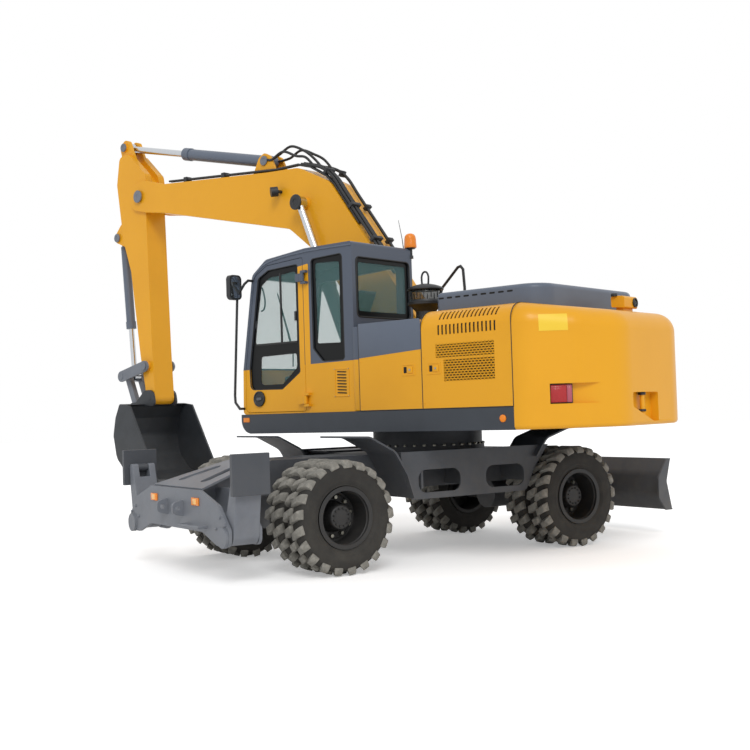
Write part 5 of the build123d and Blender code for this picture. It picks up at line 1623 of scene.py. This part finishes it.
@dataclass
class Equipment:
    """The boom, arm and bucket with their pins and hoses.

    Attributes:
        boom_y: The plane of the boom.
        half: Half the boom's width.
        caps: The pins' caps: their body, place, distance from the boom's plane and radius.
        back_hoses: The hoses on the boom's back: their distance from its left face, lift and radius.
        bend_hoses: The hoses over the bend: their place across, how far back they reach and their lift.
    """

    boom_y: float = -0.18
    half: float = 0.20
    caps: tuple[tuple[str, float, float, float, float], ...] = (
        ("upper", -0.05, 1.85, 0.26, 0.085), ("boom", 4.93, 4.54, 0.225, 0.085), ("boom", 2.50, 4.64, 0.125, 0.06),
        ("arm", 5.35, 5.31, 0.13, 0.06), ("arm", 5.55, 4.05, 0.13, 0.06), ("arm", 4.87, 2.19, 0.25, 0.055))
    back_hoses: Rows = ((-0.03, 0.0, 0.016), (-0.08, 0.012, 0.019), (-0.13, 0.0, 0.016), (-0.30, 0.012, 0.019))
    bend_hoses: Rows = ((-0.06, 0.0, -0.17), (-0.12, 0.08, -0.11), (-0.24, 0.14, -0.15))

    def castings(self) -> None:
        """Rounds the welded boxes' edges and smooths the linkage."""
        for node, finish, bevel in (("boom", YELLOW, 0.006), ("arm", YELLOW, 0.006), ("bucket", BUCKET_PAINT, 0.004),
                                    ("rocker", LIGHT_FRAME, 0.003), ("bucket_link", LIGHT_FRAME, 0.003)):
            softened(node, finish, bevel)
        for name in ("boom", "arm", "bucket"):
            softened(f"{name}_cylinder_barrel", SLATE, 0.0)
            softened(f"{name}_cylinder_rod", CHROME, 0.0)

    def pin_caps(self) -> None:
        """Adds the pins' flanged caps."""
        for body, x, z, reach, radius in self.caps:
            for side, name in SIDES:
                Shape().turned([(-0.002, 0.0), (-0.002, radius), (0.01, radius), (0.013, radius - 0.004),
                                (0.013, 0.03), (0.009, 0.026), (0.009, 0.0)],
                               Vector((x, self.boom_y + side * reach, z)), OUT * side, 36).done(
                    f"pin_cap_{body}_{round(x * 100)}_{name}", body, LIGHT_FRAME, smooth_deg=STEPPED_DEG)

    def hoses(self) -> None:
        """Runs the hoses along the boom's back and over its bend, with their clamps."""
        for index, (across, lift, radius) in enumerate(self.back_hoses):
            y = self.boom_y + self.half + across
            back = [(x, y, z + lift) for x, z in ((0.40, 3.01), (0.62, 3.315), (0.88, 3.67), (1.14, 4.02),
                                                  (1.31, 4.25), (1.50, 4.385), (1.80, 4.475))]
            Shape().tube(eased(back), radius, 12).done(f"boom_back_hose_{index}", "boom", HOSE)
        for index, (y, reach, lift) in enumerate(self.bend_hoses):
            loop = [(2.44, y, 4.64), (2.36 - reach, y, 4.80 + lift), (2.15 - reach, y + 0.01, 4.86 + lift),
                    (1.93 - reach, y + 0.01, 4.77 + lift), (1.78 - reach, y, 4.56 - 0.2 * reach),
                    (1.64 - reach, y, 4.43 - 0.35 * reach)]
            Shape().tube(eased(loop), 0.016, 12).done(f"bend_hose_loop_{index}", "boom", HOSE)
        clamps = Shape()
        for x, z, way in ((0.70, 3.43, Vector((0.60, 0, 0.80))), (1.02, 3.86, Vector((0.60, 0, 0.80))),
                          (1.40, 4.32, Vector((0.87, 0, 0.48)))):
            out = Vector((-way.z, 0, way.x))
            for y0, y1 in ((-0.14, 0.015), (-0.33, -0.25)):
                corners = [Vector((x, 0, z)) + way * u + out * v for u, v in ((-0.02, -0.03), (0.02, -0.03),
                                                                              (0.02, 0.045), (-0.02, 0.045))]
                clamps.prism(View.SIDE, [(c.x, c.z, 0.0) for c in corners], y0, y1)
        clamps.done("boom_hose_clamps", "boom", CAST, 0.003)

    def rod_eyes(self) -> None:
        """Caps the eyes of the boom cylinders' rods."""
        for side, name in SIDES:
            Shape().turned([(-0.002, 0.0), (-0.002, 0.092), (0.012, 0.092), (0.018, 0.084), (0.018, 0.04),
                            (0.012, 0.036), (0.012, 0.0)], Vector((1.73, self.boom_y + side * 0.358, 3.98)),
                           OUT * side, 40).done(f"boom_rod_eye_cap_{name}", "boom_cylinder_rod", PLASTIC,
                                                smooth_deg=STEPPED_DEG)

    def build(self) -> None:
        """Builds the working equipment's looks."""
        self.castings()
        self.pin_caps()
        self.hoses()
        self.rod_eyes()


@dataclass
class Undercarriage:
    """The chassis, axles, outriggers and blade.

    Attributes:
        steer_l: The steered axle's place.
        drive_l: The driven axle's place.
        plate_l: The outriggers' front plate.
        lamp_across: The plate's lamps, from its middle.
    """

    steer_l: float = 1.83
    drive_l: float = -1.04
    plate_l: float = 2.945
    lamp_across: float = 0.48

    def frames(self) -> None:
        """Rounds the plates' edges."""
        for node, finish, bevel in (("chassis_frame", CHASSIS, 0.005), ("side_boxes", CHASSIS, 0.005),
                                    ("outrigger_frame", LIGHT_FRAME, 0.004), ("outrigger_left", LIGHT_FRAME, 0.005),
                                    ("outrigger_right", LIGHT_FRAME, 0.005),
                                    ("outrigger_pad_left", PAD_PAINT, 0.005),
                                    ("outrigger_pad_right", PAD_PAINT, 0.005), ("dozer_blade", CHASSIS, 0.004),
                                    ("drive_axle", CHASSIS, 0.0), ("steer_axle", CHASSIS, 0.004)):
            softened(node, finish, bevel)

    def lamps(self) -> None:
        """Builds the outrigger plate's two amber lamps and the deck's side lamps."""
        for side, name in SIDES:
            middle = side * self.lamp_across
            Shape(UNDER).box((self.plate_l + 0.015, middle - 0.075, 0.68), (self.plate_l + 0.028, middle + 0.075, 0.75)
                             ).done(f"marker_base_{name}", "undercarriage", AMBER, 0.004,
                                    replaces=("marker_lamps",) if side > 0 else ())
            Shape(UNDER).box((self.plate_l + 0.02, middle - 0.035, 0.69), (self.plate_l + 0.034, middle + 0.035, 0.74)
                             ).done(f"marker_lens_{name}", "undercarriage", CLEAR_AMBER, 0.004)
            Shape().turned([(0.0, 0.0), (0.0, 0.034), (0.007, 0.034), (0.011, 0.031), (0.014, 0.022), (0.0155, 0.0)],
                           Vector((-1.86, side * 1.2503, 1.38)), OUT * side, 36).done(
                f"skirt_lamp_{name}", "upper", AMBER, replaces=("side_lamps",) if side > 0 else ())
        Shape().box((1.47, 1.2485, 1.40), (1.565, 1.256, 1.448)).done("skirt_front_lamp", "upper", AMBER, 0.003)

    def bolts(self) -> None:
        """Sets bolts round the slewing ring and on the plates."""
        Repeat(nut_mesh(0.03, 0.02)).on("slew_ring_bolts", "undercarriage", ZINC, ring(UP * 1.10, UP, 0.60, 36))
        marks = [(UNDER.at(self.plate_l + 0.015, across, z), UNDER.at(1, 0, 0), UP)
                 for across, z in ((0.98, 0.60), (1.08, 0.54), (-0.98, 0.60), (-1.08, 0.54), (0.9, 0.5), (-0.9, 0.5))]
        Repeat(nut_mesh(0.024, 0.014)).on("outrigger_plate_bolts", "undercarriage", LIGHT_FRAME, marks)

    def build(self) -> None:
        """Builds the undercarriage's looks."""
        self.frames()
        self.lamps()
        self.bolts()
        for end, along in (("front", self.steer_l), ("rear", self.drive_l)):
            for side, name in SIDES:
                TwinWheel(f"{end}_{name}", side, along).build()


def finish_nodes() -> None:
    """Gives every CAD node that stays visible its finish."""
    for name, finish in NODE_FINISHES.items():
        data = frame["nodes"][name].data
        data.materials.clear()
        data.materials.append(finish.build())


def main() -> None:
    """Builds the machine's looks."""
    logging.basicConfig(level=logging.INFO, format="%(name)s: %(message)s")
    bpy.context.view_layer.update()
    Studio().build()
    finish_nodes()
    for assembly in (Undercarriage(), RearBody(), Cab(), Equipment()):
        assembly.build()


if __name__ == "__main__":
    main()
